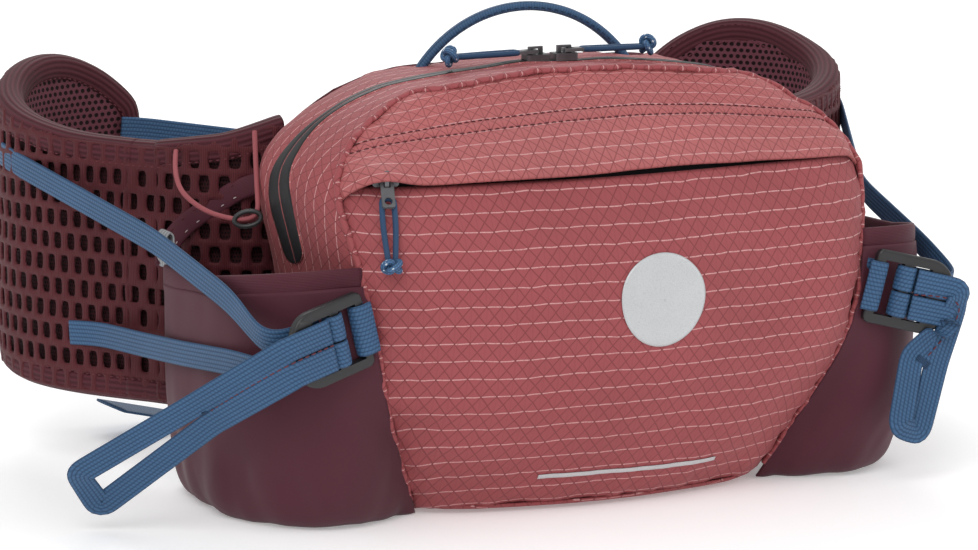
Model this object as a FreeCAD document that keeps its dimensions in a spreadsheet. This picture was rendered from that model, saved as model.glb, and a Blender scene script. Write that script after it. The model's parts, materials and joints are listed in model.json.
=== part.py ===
import FreeCAD, Part
import Sketcher
import math
import os
from FreeCAD import Vector

# Lumbar waist pack standing on its base. +Z up, -Y the front, +Y towards the wearer's back,
# origin on the floor under the middle of the base. Lengths are millimetres, turns are degrees.

doc = FreeCAD.newDocument("WaistPack")
sheet = doc.addObject("Spreadsheet::Sheet", "Sizes")

sizes = [
    ("bag_half_width", 112),
    ("bag_height", 168),
    ("bag_front", 75),
    ("bag_back", 42),
    ("dome_radius", 485),
    ("shell_wall", 2),
    ("bottom_band", 9),
    ("gusset_bulge", 7),
    ("back_pad_thick", 7),
    ("flap_drop", 28),
    ("zip_slot", 8.4),
    ("zip_recess", 0.7),
    ("zip_width", 16),
    ("zip_end_height", 92),
    ("zip_top_back", 15),
    ("pocket_height", 103),
    ("pocket_wall", 1.8),
    ("hem_height", 8),
    ("belt_thick", 9),
    ("mesh_thick", 2.6),
    ("binding_wall", 1),
    ("binding_band", 6),
    ("belt_bottom", 32),
    ("hinge_side", 143),
    ("hinge_back", 84),
    ("hinge_gap", 2.2),
    ("right_open", 17),
    ("web_wide", 20),
    ("web_thick", 1.5),
    ("strap_wide", 10),
    ("strap_thick", 1.2),
    ("waist_web_wide", 25),
    ("lock_long", 34),
    ("lock_wide", 30),
    ("lock_thick", 4),
    ("lock_bar", 4),
    ("lock_slot", 8),
    ("lock_height", 82),
    ("lock_out", 6),
    ("lock_tilt", 14),
    ("lock_yaw", 12),
    ("clearance", 0.4),
    ("slider_long", 10),
    ("slider_wide", 7),
    ("slider_tall", 3),
    ("arch_tall", 3),
    ("arch_long", 6),
    ("arch_wide", 1.6),
    ("arch_leg", 1.5),
    ("tab_long", 13),
    ("tab_wide", 5),
    ("tab_thick", 1.4),
    ("tab_bar", 1.3),
    ("tab_window", 3.6),
    ("hairpin", 2.4),
    ("cord_size", 2.2),
    ("bungee_size", 2),
    ("handle_half", 47),
    ("handle_rise", 25),
    ("handle_size", 5),
    ("mark_size", 36),
    ("bar_long", 78),
    ("buckle_x", 18),
    ("buckle_y", 211),
    ("buckle_z", 100),
    ("buckle_gap", 4),
    ("socket_long", 32),
    ("socket_deep", 20),
    ("plug_long", 14),
    ("buckle_wide", 33),
    ("buckle_thick", 9),
    ("buckle_wall", 1.8),
    ("latch_long", 17),
    ("latch_wide", 4),
    ("latch_thick", 4),
    ("latch_inset", 2.6),
    ("guide_wide", 7),
    ("web_slot", 4),
]
for row, (alias, value) in enumerate(sizes, start=1):
    sheet.set(f"A{row}", alias)
    sheet.set(f"B{row}", str(value))
    sheet.setAlias(f"B{row}", alias)
doc.recompute()


def size(alias):
    return float(getattr(sheet, alias))


nodes = []


def keep(obj, label):
    obj.Label = label
    nodes.append(obj)
    return obj


def shapeOf(label):
    """A finished piece's shape, in its place."""
    doc.recompute()
    return next(obj for obj in nodes if obj.Label == label).Shape


def feature(label, shape, place=None):
    """A free-form piece: its shape is made from sheet sizes, then placed."""
    obj = doc.addObject("Part::Feature", label)
    obj.Shape = shape
    if place is not None:
        obj.Placement = place
    return keep(obj, label)


def bind(obj, **links):
    for prop, expression in links.items():
        obj.setExpression(prop, expression)


# ---------------------------------------------------------------- the bag's own form

# share of the height, of the half width, of the front depth at the side seam and at the centre
bagRows = [
    (0.00, 0.67, 0.27, 0.53),
    (0.09, 0.73, 0.36, 0.66),
    (0.24, 0.83, 0.52, 0.86),
    (0.43, 0.92, 0.66, 0.97),
    (0.60, 0.965, 0.61, 0.96),
    (0.73, 1.00, 0.50, 0.84),
    (0.86, 0.95, 0.31, 0.58),
    (0.95, 0.85, 0.17, 0.28),
    (1.06, 0.76, 0.02, 0.06),
]


def bagAt(z):
    """Half width, seam depth and centre depth of the bag at height z."""
    share = z / size("bag_height")
    for low, high in zip(bagRows, bagRows[1:]):
        if share <= high[0] or high is bagRows[-1]:
            along = (share - low[0]) / (high[0] - low[0])
            mixed = [a + (b - a) * along for a, b in zip(low[1:], high[1:])]
            return (mixed[0] * size("bag_half_width"), mixed[1] * size("bag_front"),
                    mixed[2] * size("bag_front"))


def bagSection(z, inset):
    """Closed outline of the bag at height z, moved in by inset."""
    half, seam, centre = bagAt(z)
    back = size("bag_back")
    side = half + size("gusset_bulge")
    right = [
        (0.5 * half, -centre + 0.2 * (centre - seam) + inset),
        (half - inset * 0.8, -seam + inset * 0.8),
        (side - inset, (back - seam) / 2),
        (side - inset, back - 14),
        (side - 8, back - inset),
        (0.6 * half, back - inset),
        (0.3 * half, back - inset),
    ]
    left = [(-x, y) for x, y in reversed(right)]
    loop = [(0, back - inset)] + left + [(0, -centre + inset)] + right
    curve = Part.BSplineCurve()
    curve.interpolate([Vector(x, y, z) for x, y in loop], PeriodicFlag=True)
    return Part.Wire([curve.toShape()])


def bagForm(inset):
    """The bag as one solid: sections lofted upwards, domed by a wide cylinder along Y."""
    height = size("bag_height")
    wires = [bagSection(row[0] * height, inset) for row in bagRows]
    loft = Part.makeLoft(wires, True, False)
    radius = size("dome_radius") - inset
    dome = Part.makeCylinder(radius, 400, Vector(0, -200, height - size("dome_radius")),
                             Vector(0, 1, 0))
    form = loft.common(dome)
    if inset:
        form = form.cut(Part.makeBox(600, 600, inset + 1, Vector(-300, -300, -1)))
    return form


def across(outline, x0=-400, x1=400):
    """A prism through the whole object: an outline in the YZ plane, extruded along X."""
    points = [Vector(x0, y, z) for y, z in outline]
    return Part.Face(Part.makePolygon(points + points[:1])).extrude(Vector(x1 - x0, 0, 0))


def domeTop(x, lift=0.0):
    """Height of the bag's top at x, lift above its surface."""
    radius = size("dome_radius")
    return size("bag_height") - radius + math.sqrt((radius + lift) ** 2 - x * x)


def seamPrism():
    rows = [(-row[2] * size("bag_front"), row[0] * size("bag_height")) for row in bagRows]
    return across([(-300, -10), (rows[0][0], -10)] + rows + [(-300, rows[-1][1])])


def zipPrism(wide):
    """The slot for the main zipper: over the top and down both sides."""
    top = size("zip_top_back")
    foot = size("zip_end_height")
    knee = size("bag_height") - 6
    low = top - 16
    return across([(top - wide / 2, 300), (top + wide / 2, 300), (top + wide / 2, knee),
                   (low + wide / 2, foot), (low - wide / 2, foot), (top - wide / 2, knee)])


outer = bagForm(0)
shell = outer.cut(bagForm(size("shell_wall")))
front = seamPrism()
bottomSlab = Part.makeBox(600, 600, size("bottom_band"), Vector(-300, -300, -1))
backSlab = Part.makeBox(600, 100, 600, Vector(-300, size("bag_back") - 8, -100))
zipSlot = zipPrism(size("zip_width"))
flapZ = size("bag_height") - size("flap_drop")
slotZ = flapZ - size("zip_slot")


def makeBag():
    facing = shell.common(front).cut(bottomSlab)
    below = Part.makeBox(600, 600, slotZ + 100, Vector(-300, -300, -100))
    above = Part.makeBox(600, 600, 300, Vector(-300, -300, flapZ))
    feature("front_panel", facing.common(below))
    feature("flap_panel", facing.common(above))
    feature("bottom_panel", shell.common(bottomSlab))
    rest = shell.cut(front).cut(bottomSlab)
    feature("back_panel", rest.common(backSlab))
    sides = rest.cut(backSlab)
    feature("gusset", sides.cut(zipSlot))
    feature("main_zip_tape", sides.common(zipSlot))
    makeFrontZip(facing)


def makeFrontZip(facing):
    """The hidden zipper's tape: it closes the slot and lies a little deeper than the panels."""
    slot = Part.makeBox(600, 600, size("zip_slot"), Vector(-300, -300, slotZ))
    y, radius, _ = frontPivot()
    inside = radius + size("clearance") - size("zip_recess") - 0.05
    sweep = Part.makeCylinder(inside, 600, Vector(0, y, -100))
    feature("front_zip_tape", facing.common(slot).common(bagForm(size("zip_recess"))).common(sweep))


def makeBackPad():
    """Padded back: a slab with rounded corners on the back panel."""
    half = bagAt(60)[0] - 6
    low = 12
    high = size("bag_height") - 16
    pad = Part.makeBox(2 * half, size("back_pad_thick"), high - low,
                       Vector(-half, size("bag_back") + 0.2, low))
    upright = [e for e in pad.Edges
               if abs(e.Vertexes[0].Y - e.Vertexes[-1].Y) > size("back_pad_thick") / 2]
    pad = pad.makeFillet(22, upright)
    rear = [e for e in pad.Edges
            if min(v.Y for v in e.Vertexes) > size("bag_back") + size("back_pad_thick")]
    feature("back_pad", pad.makeFillet(2.5, rear).cut(outer))


# ---------------------------------------------------------------- belt

# plan of the left half of the belt, outwards and back from the bag's back corner
basePlan = [(-100, 52), (-117, 56), (-132, 68), (-143, 84)]
wingPlan = [(-143, 84), (-160, 108), (-173, 133), (-176, 158), (-163, 184), (-136, 201), (-103, 208)]
# share of each plan's length, top edge and bottom edge above the floor
baseEdges = [(0.0, 146, 0), (0.4, 139, 0), (1.0, 134, 0)]
wingEdges = [(0.0, 134, 0), (0.2, 135, 0), (0.36, 140, 1), (0.52, 148, 5), (0.66, 156, 12),
             (0.78, 157, 24), (0.88, 150, 40), (0.95, 142, 56), (1.0, 130, 70)]


def planCurve(plan):
    scaleX = size("hinge_side") / 143.0
    scaleY = size("hinge_back") / 84.0
    curve = Part.BSplineCurve()
    curve.interpolate([Vector(x * scaleX, y * scaleY, 0) for x, y in plan])
    return curve


def edgesAt(edges, share):
    for low, high in zip(edges, edges[1:]):
        if share <= high[0]:
            along = (share - low[0]) / (high[0] - low[0])
            return (low[1] + (high[1] - low[1]) * along,
                    size("belt_bottom") + low[2] + (high[2] - low[2]) * along)
    return edges[-1][1], size("belt_bottom") + edges[-1][2]


def toRight(shape, turning=False):
    """The right-hand copy of a left-hand shape; what rides on the belt's wing is opened wider."""
    copy = shape.mirror(Vector(0, 0, 0), Vector(1, 0, 0))
    if turning:
        pivot = Vector(size("hinge_side"), size("hinge_back"), 0)
        copy.rotate(pivot, Vector(0, 0, 1), -size("right_open"))
    return copy


def pair(name, shape, turning=False):
    feature(f"{name}_left", shape)
    feature(f"{name}_right", toRight(shape, turning))


def planPoint(curve, share):
    """Point and outward normal at a share of the curve's length."""
    length = curve.length()
    u = curve.parameterAtDistance(length * share, curve.FirstParameter)
    point = curve.value(u)
    along = curve.tangent(u)[0]
    return point, Vector(along.y, -along.x, 0) * -1


def ribbon(plan, edges, inner, outerSide, grow, start, end, count=11):
    """A padded strip standing on edge along the plan, from inner to outerSide of its middle."""
    curve = planCurve(plan)
    wires = []
    for n in range(count):
        share = start + (end - start) * n / (count - 1)
        point, out = planPoint(curve, share)
        top, low = edgesAt(edges, share)
        a = point + out * inner
        b = point + out * outerSide
        corners = [(a, low - grow), (b, low - grow), (b, top + grow), (a, top + grow)]
        corners = [Vector(c.x, c.y, z) for c, z in corners]
        wires.append(Part.makePolygon(corners + corners[:1]))
    return Part.makeLoft(wires, True, False)


def nose(plan, edges, share, radius):
    """Upright round end beside the fold, where the belt bends."""
    point, _ = planPoint(planCurve(plan), share)
    top, low = edgesAt(edges, share)
    return Part.makeCylinder(radius, top - low - 1, Vector(point.x, point.y, low + 0.5))


def edgeTape(plan, edges, rim):
    """Binding folded over an edge: one U-section carried along the rim's points."""
    curve = planCurve(plan)
    half = size("belt_thick") / 2 + 0.3
    wall = size("binding_wall")
    band = size("binding_band")
    length = curve.length()
    wires = []
    for n, (share, z) in enumerate(rim):
        before = rim[max(n - 1, 0)]
        after = rim[min(n + 1, len(rim) - 1)]
        run = Vector((after[0] - before[0]) * length, after[1] - before[1], 0)
        run.normalize()
        point, out = planPoint(curve, share)
        along = Vector(-out.y, out.x, 0) * -1
        inward = along * run.y + Vector(0, 0, -run.x)
        base = Vector(point.x, point.y, z)
        skin = half + wall
        profile = [(-skin, band), (-skin, -wall), (skin, -wall), (skin, band),
                   (half, band), (half, 0), (-half, 0), (-half, band)]
        corners = [base + out * sideways + inward * deep for sideways, deep in profile]
        wires.append(Part.makePolygon(corners + corners[:1]))
    tape = Part.makeLoft(wires, True, True)
    if tape.Volume < 0:
        tape.reverse()
    return tape


def rimPoints(edges, start, end, upper, steps=12):
    shares = [start + (end - start) * n / steps for n in range(steps + 1)]
    if upper:
        return [(share, edgesAt(edges, share)[0]) for share in shares]
    return [(share, edgesAt(edges, share)[1]) for share in reversed(shares)]


def makeBelt():
    half = size("belt_thick") / 2
    mesh = size("mesh_thick")
    fold = half + size("hinge_gap") / 2 + size("binding_wall")
    baseEnd = 1 - fold / planCurve(basePlan).length()
    begin = fold / planCurve(wingPlan).length()
    foam = ribbon(basePlan, baseEdges, -half, half, -0.3, 0.0, baseEnd, 7)
    foam = foam.fuse(nose(basePlan, baseEdges, baseEnd, half + 0.05))
    pair("belt_base", foam)
    tapes = [edgeTape(basePlan, baseEdges, rimPoints(baseEdges, 0.0, baseEnd, upper, 5)).cut(foam)
             for upper in (True, False)]
    pair("base_binding", Part.makeCompound([largest(tape) for tape in tapes]))
    foam = ribbon(wingPlan, wingEdges, -half, half - mesh, -0.3, begin, 0.99)
    foam = foam.fuse(nose(wingPlan, wingEdges, begin, half - 0.4))
    skin = ribbon(wingPlan, wingEdges, half - mesh, half, -0.3, begin, 0.99).cut(foam)
    pair("wing_foam", foam, True)
    pair("wing_mesh", skin, True)
    rim = rimPoints(wingEdges, begin, 1.0, True) + rimPoints(wingEdges, begin, 1.0, False)
    pair("wing_binding", largest(edgeTape(wingPlan, wingEdges, rim).cut([foam, skin])), True)


# ---------------------------------------------------------------- side pockets

# plan of the left pocket's wall below, midway and at the hem, after the front seam's own point
pocketPlan = [
    (0, [(-106, -34), (-136, -18), (-145, 18), (-143, 48)]),
    (50, [(-122, -44), (-144, -20), (-150, 16), (-148, 50)]),
    (112, [(-128, -42), (-146, -16), (-151, 18), (-150, 50)]),
]


def pocketCurves(z, plan):
    """Outer and inner line of the pocket's wall at height z, from the front seam to the belt."""
    half, seam, _ = bagAt(z)
    wall = size("pocket_wall")
    stretch = size("bag_half_width") / 112.0
    bends = [Vector(x * stretch, y, z) for x, y in plan]
    start = Vector(-half - 0.5, -seam - 0.3, z)
    end = Vector(-size("hinge_side") + 6, size("hinge_back") - 20, z)
    middle = Vector(-half + 5, 12, z)
    inner = [start + Vector(-wall, wall, 0)]
    for bend in bends:
        inward = middle - bend
        inward.normalize()
        inner.append(bend + inward * wall)
    inner.append(end + Vector(wall, -wall / 2, 0))
    curves = []
    for line in ([start] + bends + [end], inner):
        curve = Part.BSplineCurve()
        curve.interpolate(line)
        curves.append(curve)
    return curves


def joinCurves(first, second):
    """Closed wire from two open curves that run the same way."""
    caps = [Part.LineSegment(first.EndPoint, second.EndPoint).toShape(),
            Part.LineSegment(second.StartPoint, first.StartPoint).toShape()]
    back = second.copy()
    back.reverse()
    return Part.Wire([first.toShape(), caps[0], back.toShape(), caps[1]])


def pocketFloor():
    """The pocket's base: between the wall's inner line and the bag's side."""
    half, seam, _ = bagAt(0)
    side = half + size("gusset_bulge") + 2
    _, inner = pocketCurves(*pocketPlan[0])
    start, end = inner.StartPoint, inner.EndPoint
    line = [end, Vector(-side + 4, size("bag_back") + 1, 0), Vector(-side, size("bag_back") - 14, 0),
            Vector(-side, 0, 0), start]
    edges = [inner.toShape()] + [Part.LineSegment(a, b).toShape() for a, b in zip(line, line[1:])]
    return Part.Face(Part.Wire(edges)).extrude(Vector(0, 0, size("pocket_wall")))


def pocketMouth(drop):
    """All above the pocket's top edge, lower at its side than at the front seam."""
    height = size("pocket_height") - drop
    line = [(-300, height), (-50, height), (0, height - 8), (50, height - 11), (300, height - 11)]
    return across(line + [(300, 400), (-300, 400)])


def makePockets():
    """Stretch bottle pockets: open at the top, closed by the gusset and the belt behind them."""
    wires = [joinCurves(*pocketCurves(z, plan)) for z, plan in pocketPlan]
    wall = Part.makeLoft(wires, True, False).cut(pocketMouth(0))
    above = pocketMouth(size("hem_height"))
    cup = largest(wall.cut(above).cut(outer))
    base = largest(pocketFloor().cut(outer))
    pair("side_pocket", Part.makeCompound([cup, base]))
    pair("pocket_hem", largest(wall.common(above).cut(outer)))


def largest(shape):
    return max(shape.Solids, key=lambda s: s.Volume)


# ---------------------------------------------------------------- primitives bound to the sheet

def slab(name, dims, at):
    """A Part box whose sides and corner come from sheet expressions."""
    piece = doc.addObject("Part::Box", name)
    for prop, expression in zip(("Length", "Width", "Height"), dims):
        piece.setExpression(prop, expression)
    for axis, expression in zip("xyz", at):
        piece.setExpression(f"Placement.Base.{axis}", expression)
    return piece


def joined(kind, name, first, others):
    """Part booleans of document objects: first with each of the others."""
    result = first
    for n, tool in enumerate(others):
        step = doc.addObject(kind, f"{name}{n}")
        step.Base = result
        step.Tool = tool
        result = step
    return result


def frameAt(base, along, up):
    """Placement with X along, Z square to along and up, and Y nearest to up."""
    x = Vector(along)
    x.normalize()
    z = x.cross(up)
    z.normalize()
    y = z.cross(x)
    return FreeCAD.Placement(FreeCAD.Matrix(x.x, y.x, z.x, base.x, x.y, y.y, z.y, base.y,
                                            x.z, y.z, z.z, base.z, 0, 0, 0, 1))


def flatFaced(rings):
    """Closed solid with flat three-cornered faces through rings of four corners."""
    faces = [(rings[0][0], rings[0][1], rings[0][2]), (rings[0][0], rings[0][2], rings[0][3]),
             (rings[-1][2], rings[-1][1], rings[-1][0]), (rings[-1][3], rings[-1][2], rings[-1][0])]
    for low, high in zip(rings, rings[1:]):
        for n in range(4):
            m = (n + 1) % 4
            faces.append((low[m], low[n], high[n]))
            faces.append((low[m], high[n], high[m]))
    shapes = [Part.Face(Part.makePolygon([a, b, c, a])) for a, b, c in faces]
    shell = Part.Shell(shapes)
    shell.sewShape()
    solid = Part.Solid(shell)
    if solid.Volume < 0:
        solid.reverse()
    return solid


def strap(points, wide, thick, across_):
    """Webbing: a flat section carried through points, its width along across_ at each of them."""
    rings = []
    for n, point in enumerate(points):
        run = points[min(n + 1, len(points) - 1)] - points[max(n - 1, 0)]
        run.normalize()
        width = Vector(across_[n])
        width = width - run * width.dot(run)
        width.normalize()
        depth = run.cross(width)
        rings.append([point + width * (wide / 2 * a) + depth * (thick / 2 * b)
                      for a, b in ((-1, -1), (1, -1), (1, 1), (-1, 1))])
    return flatFaced(rings)


def cordTube(label, points, diameter):
    """A cord: straight runs joined by tangent arcs, each as large as its runs allow."""
    edges = []
    last = points[0]
    radii = []
    length = 0.0
    for before, here, after in zip(points, points[1:], points[2:]):
        back = before - here
        on = after - here
        reach = 0.45 * min(back.Length, on.Length)
        back.normalize()
        on.normalize()
        turn = math.pi - back.getAngle(on)
        radius = reach / math.tan(turn / 2)
        radii.append(round(radius, 1))
        middle = back + on
        middle.normalize()
        deep = radius / math.cos(turn / 2) - radius
        start, stop = here + back * reach, here + on * reach
        edges.append(Part.LineSegment(last, start).toShape())
        edges.append(Part.Arc(start, here + middle * deep, stop).toShape())
        length += (start - last).Length + radius * turn
        last = stop
    edges.append(Part.LineSegment(last, points[-1]).toShape())
    length += (points[-1] - last).Length
    path = Part.Wire(edges)
    section = Part.Wire([Part.Circle(points[0], points[1] - points[0], diameter / 2).toShape()])
    tube = path.makePipeShell([section], True, False)
    expected = math.pi * diameter ** 2 / 4 * length
    print(label, "radii", radii, "length", round(length, 1), "volume", round(tube.Volume / expected, 3))
    return tube


# ---------------------------------------------------------------- sketches

def rectangle(body, name, long, wide, left, low):
    """A bound rectangle on the body's own XY plane."""
    sketch = body.newObject("Sketcher::SketchObject", name)
    plane = next(f for f in body.Origin.OriginFeatures if f.Role == "XY_Plane")
    sketch.AttachmentSupport = [(plane, "")]
    sketch.MapMode = "FlatFace"
    corners = [Vector(0, 0, 0), Vector(1, 0, 0), Vector(1, 1, 0), Vector(0, 1, 0)]
    for a, b in zip(corners, corners[1:] + corners[:1]):
        sketch.addGeometry(Part.LineSegment(a, b))
    for n in range(4):
        sketch.addConstraint(Sketcher.Constraint("Coincident", n, 2, (n + 1) % 4, 1))
    for n, kind in enumerate(("Horizontal", "Vertical", "Horizontal", "Vertical")):
        sketch.addConstraint(Sketcher.Constraint(kind, n))
    bound = [("DistanceX", 0, 1, 0, 2, long), ("DistanceY", 1, 1, 1, 2, wide),
             ("DistanceX", -1, 1, 0, 1, left), ("DistanceY", -1, 1, 0, 1, low)]
    for n, (kind, a, ap, b, bp, expression) in enumerate(bound):
        index = sketch.addConstraint(Sketcher.Constraint(kind, a, ap, b, bp, 1.0))
        sketch.renameConstraint(index, f"drive{n}")
        sketch.setExpression(f"Constraints.drive{n}", expression)
    doc.recompute()
    return sketch


def edgeNames(feature_, test):
    return [f"Edge{n}" for n, edge in enumerate(feature_.Shape.Edges, start=1) if test(edge)]


def upright(edge):
    first, last = edge.Vertexes[0].Point, edge.Vertexes[-1].Point
    return abs(first.z - last.z) > 1 and abs(first.x - last.x) < 0.1 and abs(first.y - last.y) < 0.1


# ---------------------------------------------------------------- ladder locks and their webbing

def lockFrame():
    """The left ladder lock's place: X outwards from the bar on the seam, Y up the bar."""
    tilt = math.radians(size("lock_tilt"))
    yaw = math.radians(size("lock_yaw"))
    half, seam, _ = bagAt(size("lock_height"))
    along = Vector(-math.cos(tilt) * math.cos(yaw), -math.cos(tilt) * math.sin(yaw), -math.sin(tilt))
    bar = Vector(-math.sin(tilt) * math.cos(yaw), -math.sin(tilt) * math.sin(yaw), math.cos(tilt))
    pivot = Vector(-half, -seam - 3, size("lock_height")) + along * size("lock_out")
    return frameAt(pivot, along, bar)


def makeLadderLock():
    body = doc.addObject("PartDesign::Body", "LadderLock")
    outline = rectangle(body, "Outline", "Sizes.lock_long", "Sizes.lock_wide",
                        "-Sizes.lock_bar / 2", "-Sizes.lock_wide / 2")
    pad = body.newObject("PartDesign::Pad", "Frame")
    pad.Profile = outline
    pad.setExpression("Length", "Sizes.lock_thick")
    pad.Midplane = True
    doc.recompute()
    outerEnd = size("lock_long") - size("lock_bar")
    rounds = [("OuterEnd", lambda e: upright(e) and e.Vertexes[0].Point.x > outerEnd - 3, 10),
              ("InnerEnd", lambda e: upright(e) and e.Vertexes[0].Point.x < 0, 3),
              ("Rim", lambda e: not upright(e), 1.1)]
    last = pad
    for name, test, radius in rounds:
        round_ = body.newObject("PartDesign::Fillet", name)
        round_.Base = (last, edgeNames(last, test))
        round_.Radius = radius
        doc.recompute()
        last = round_
    for n, left in enumerate(("Sizes.lock_bar / 2", "Sizes.lock_bar * 1.5 + Sizes.lock_slot")):
        opening = rectangle(body, f"Slot{n}", "Sizes.lock_slot", "Sizes.web_wide + 2", left,
                            "-Sizes.web_wide / 2 - 1")
        cut = body.newObject("PartDesign::Pocket", f"SlotCut{n}")
        cut.Profile = opening
        cut.Type = 1
        cut.Midplane = True
        doc.recompute()
        if cut.Shape.Volume >= last.Shape.Volume:
            raise RuntimeError("a slot cut nothing")
        last = cut
    body.Placement = lockFrame()
    keep(body, "ladder_lock_left")
    feature("ladder_lock_right", toRight(body.Shape))


def flatRing(length, inner, thick, wide, middle):
    """Webbing looped round a bar: an oblong ring about Y, drawn out to -X."""
    solids = []
    for radius in (inner + thick, inner):
        bar = Part.makeCylinder(radius, wide, Vector(0, middle - wide / 2, 0), Vector(0, 1, 0))
        far = Part.makeCylinder(radius, wide, Vector(-length, middle - wide / 2, 0), Vector(0, 1, 0))
        web = Part.makeBox(length, wide, 2 * radius, Vector(-length, middle - wide / 2, -radius))
        solids.append(bar.fuse([far, web]))
    return solids[0].cut(solids[1])


def makeLockWebbing():
    place = lockFrame()
    bar = size("lock_bar")
    slot = size("lock_slot")
    half = size("lock_thick") / 2
    narrow = size("strap_wide")
    thin = size("strap_thick")
    anchorInner = math.hypot(bar / 2, half) + 0.2
    anchor = flatRing(size("lock_out") - 1.5, anchorInner, size("web_thick"), size("web_wide"), 0)
    anchor.Placement = place
    pair("anchor_web", largest(anchor.cut(outer)))
    middleBar = bar + slot
    wraps = []
    for side in (-1, 1):
        ring = flatRing(0.01, math.hypot(bar / 2, half) + 0.1, thin, narrow, side * (narrow / 2 + 0.3))
        ring.translate(Vector(middleBar, 0, 0))
        wraps.append(ring)
    wraps = Part.makeCompound(wraps)
    wraps.Placement = place
    pair("strap_wrap", wraps)


def lockPoint(x, y, z):
    return lockFrame().multVec(Vector(x, y, z))


def wingPoint(share, z, out=0.0):
    point, normal = planPoint(planCurve(wingPlan), share)
    point = point + normal * (size("belt_thick") / 2 + size("binding_wall") + out)
    return Vector(point.x, point.y, z)


def strapPair(name, fixed, riding, widths, wide, thick):
    """A strap from the lock to each wing: the right wing's end follows its wider rest angle."""
    feature(f"{name}_left", strap(fixed + riding, wide, thick, widths))
    points = [toRight(Part.Vertex(p)).Point for p in fixed]
    points += [toRight(Part.Vertex(p), True).Point for p in riding]
    mirror = [Vector(-w.x, w.y, w.z) for w in widths]
    feature(f"{name}_right", strap(points, wide, thick, mirror))


def makeCompressionStraps():
    """Two narrow straps from the wing to the lock; each turns through the lock into the pull loop."""
    narrow = size("strap_wide")
    thin = size("strap_thick")
    end = size("lock_long") - size("lock_bar") / 2
    barEnd = 1.5 * size("lock_bar") + size("lock_slot") + 2
    under = size("lock_thick") / 2 + thin
    step = narrow / 2 + 0.3
    up = Vector(0, 0, 1)
    bar = lockPoint(0, 1, 0) - lockPoint(0, 0, 0)
    spots = [(barEnd, under), (end, under), (end + 6, under + 4)]
    upper = [lockPoint(reach, step, lift) for reach, lift in spots]
    upper += [Vector(-151, -22, 89), Vector(-158, 40, 103)]
    lower = [lockPoint(reach, -step, lift) for reach, lift in spots]
    lower += [Vector(-151, -26, 66), Vector(-155, 20, 62), Vector(-157, 58, 59)]
    strapPair("strap_upper", upper, [wingPoint(0.42, 124, 1.2), wingPoint(0.50, 126, 0.8)],
              [bar, bar, bar, up, up, up, up], narrow, thin)
    strapPair("strap_lower", lower, [wingPoint(0.12, 57, 1.2), wingPoint(0.20, 56, 0.8)],
              [bar, bar, bar, up, up, up, up, up], narrow, thin)


def makePullLoop():
    """The straps' tails side by side, then apart to a folded end by the floor, in one length."""
    narrow = size("strap_wide")
    thin = size("strap_thick")
    end = size("lock_long") - size("lock_bar") / 2
    barEnd = 1.5 * size("lock_bar") + size("lock_slot") + 2
    over = -size("lock_thick") / 2 - thin
    step = narrow / 2 + 0.3
    bar = lockPoint(0, 1, 0) - lockPoint(0, 0, 0)
    tilted = Vector(-0.45, -0.1, 0.85)
    points = []
    widths = []
    for side, low in ((1, Vector(-207, -4, 24)), (-1, Vector(-196, 2, 9))):
        middle = Vector(-166, -34, 50) + tilted * (side * step)
        along = low - middle
        along.normalize()
        leg = [lockPoint(barEnd, side * step, over), lockPoint(end + 3, side * step, over), middle, low]
        across_ = [bar * side, bar * side, tilted * side, along + tilted * side]
        points += leg if side > 0 else leg[::-1]
        widths += across_ if side > 0 else across_[::-1]
    pair("pull_loop", strap(points, narrow, thin, widths))


# ---------------------------------------------------------------- zipper sliders, tabs and cords

def makeSliderPieces(word, place, turned):
    """Slider with an arch, and a tab whose end bar turns under it. turned sets the arch across."""
    name = word.title().replace("_", "")
    body = slab(name + "Body", ("Sizes.slider_long", "Sizes.slider_wide", "Sizes.slider_tall"),
                ("-Sizes.slider_long / 2", "-Sizes.slider_wide / 2", "0"))
    doc.recompute()
    rounded = doc.addObject("Part::Fillet", name + "Round")
    rounded.Base = body
    rounded.Edges = [(n, 1.2, 1.2) for n in range(1, 13)
                     if upright(body.Shape.Edges[n - 1])]
    arch = slab(name + "Arch", ("Sizes.arch_long", "Sizes.arch_wide", "Sizes.arch_tall + 0.5"),
                ("-Sizes.arch_long / 2", "-Sizes.arch_wide / 2", "Sizes.slider_tall - 0.5"))
    gap = slab(name + "Gap", ("Sizes.arch_long - 2 * Sizes.arch_leg", "Sizes.arch_wide + 2",
                              "Sizes.arch_tall - 0.9"),
               ("-Sizes.arch_long / 2 + Sizes.arch_leg", "-Sizes.arch_wide / 2 - 1", "Sizes.slider_tall"))
    hollow = joined("Part::Cut", name + "Hollow", arch, [gap])
    if turned:
        hollow.Placement = FreeCAD.Placement(Vector(0, 0, 0), FreeCAD.Rotation(Vector(0, 0, 1), 90))
    slider = joined("Part::Fuse", name + "Slider", rounded, [hollow])
    doc.recompute()
    slider.Placement = place
    keep(slider, word)


def tabFrame(place, lean, turned):
    """A tab's place on its slider: X from its end bar to its free end, Z its thickness."""
    lift = FreeCAD.Placement(Vector(0, 0, size("slider_tall") + 1.05), FreeCAD.Rotation())
    swing = FreeCAD.Placement(Vector(0, 0, 0), FreeCAD.Rotation(Vector(0, 0, 1), turned))
    tip = FreeCAD.Placement(Vector(0, 0, 0), FreeCAD.Rotation(Vector(0, 1, 0), -lean))
    return place.multiply(lift).multiply(swing).multiply(tip)


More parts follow.
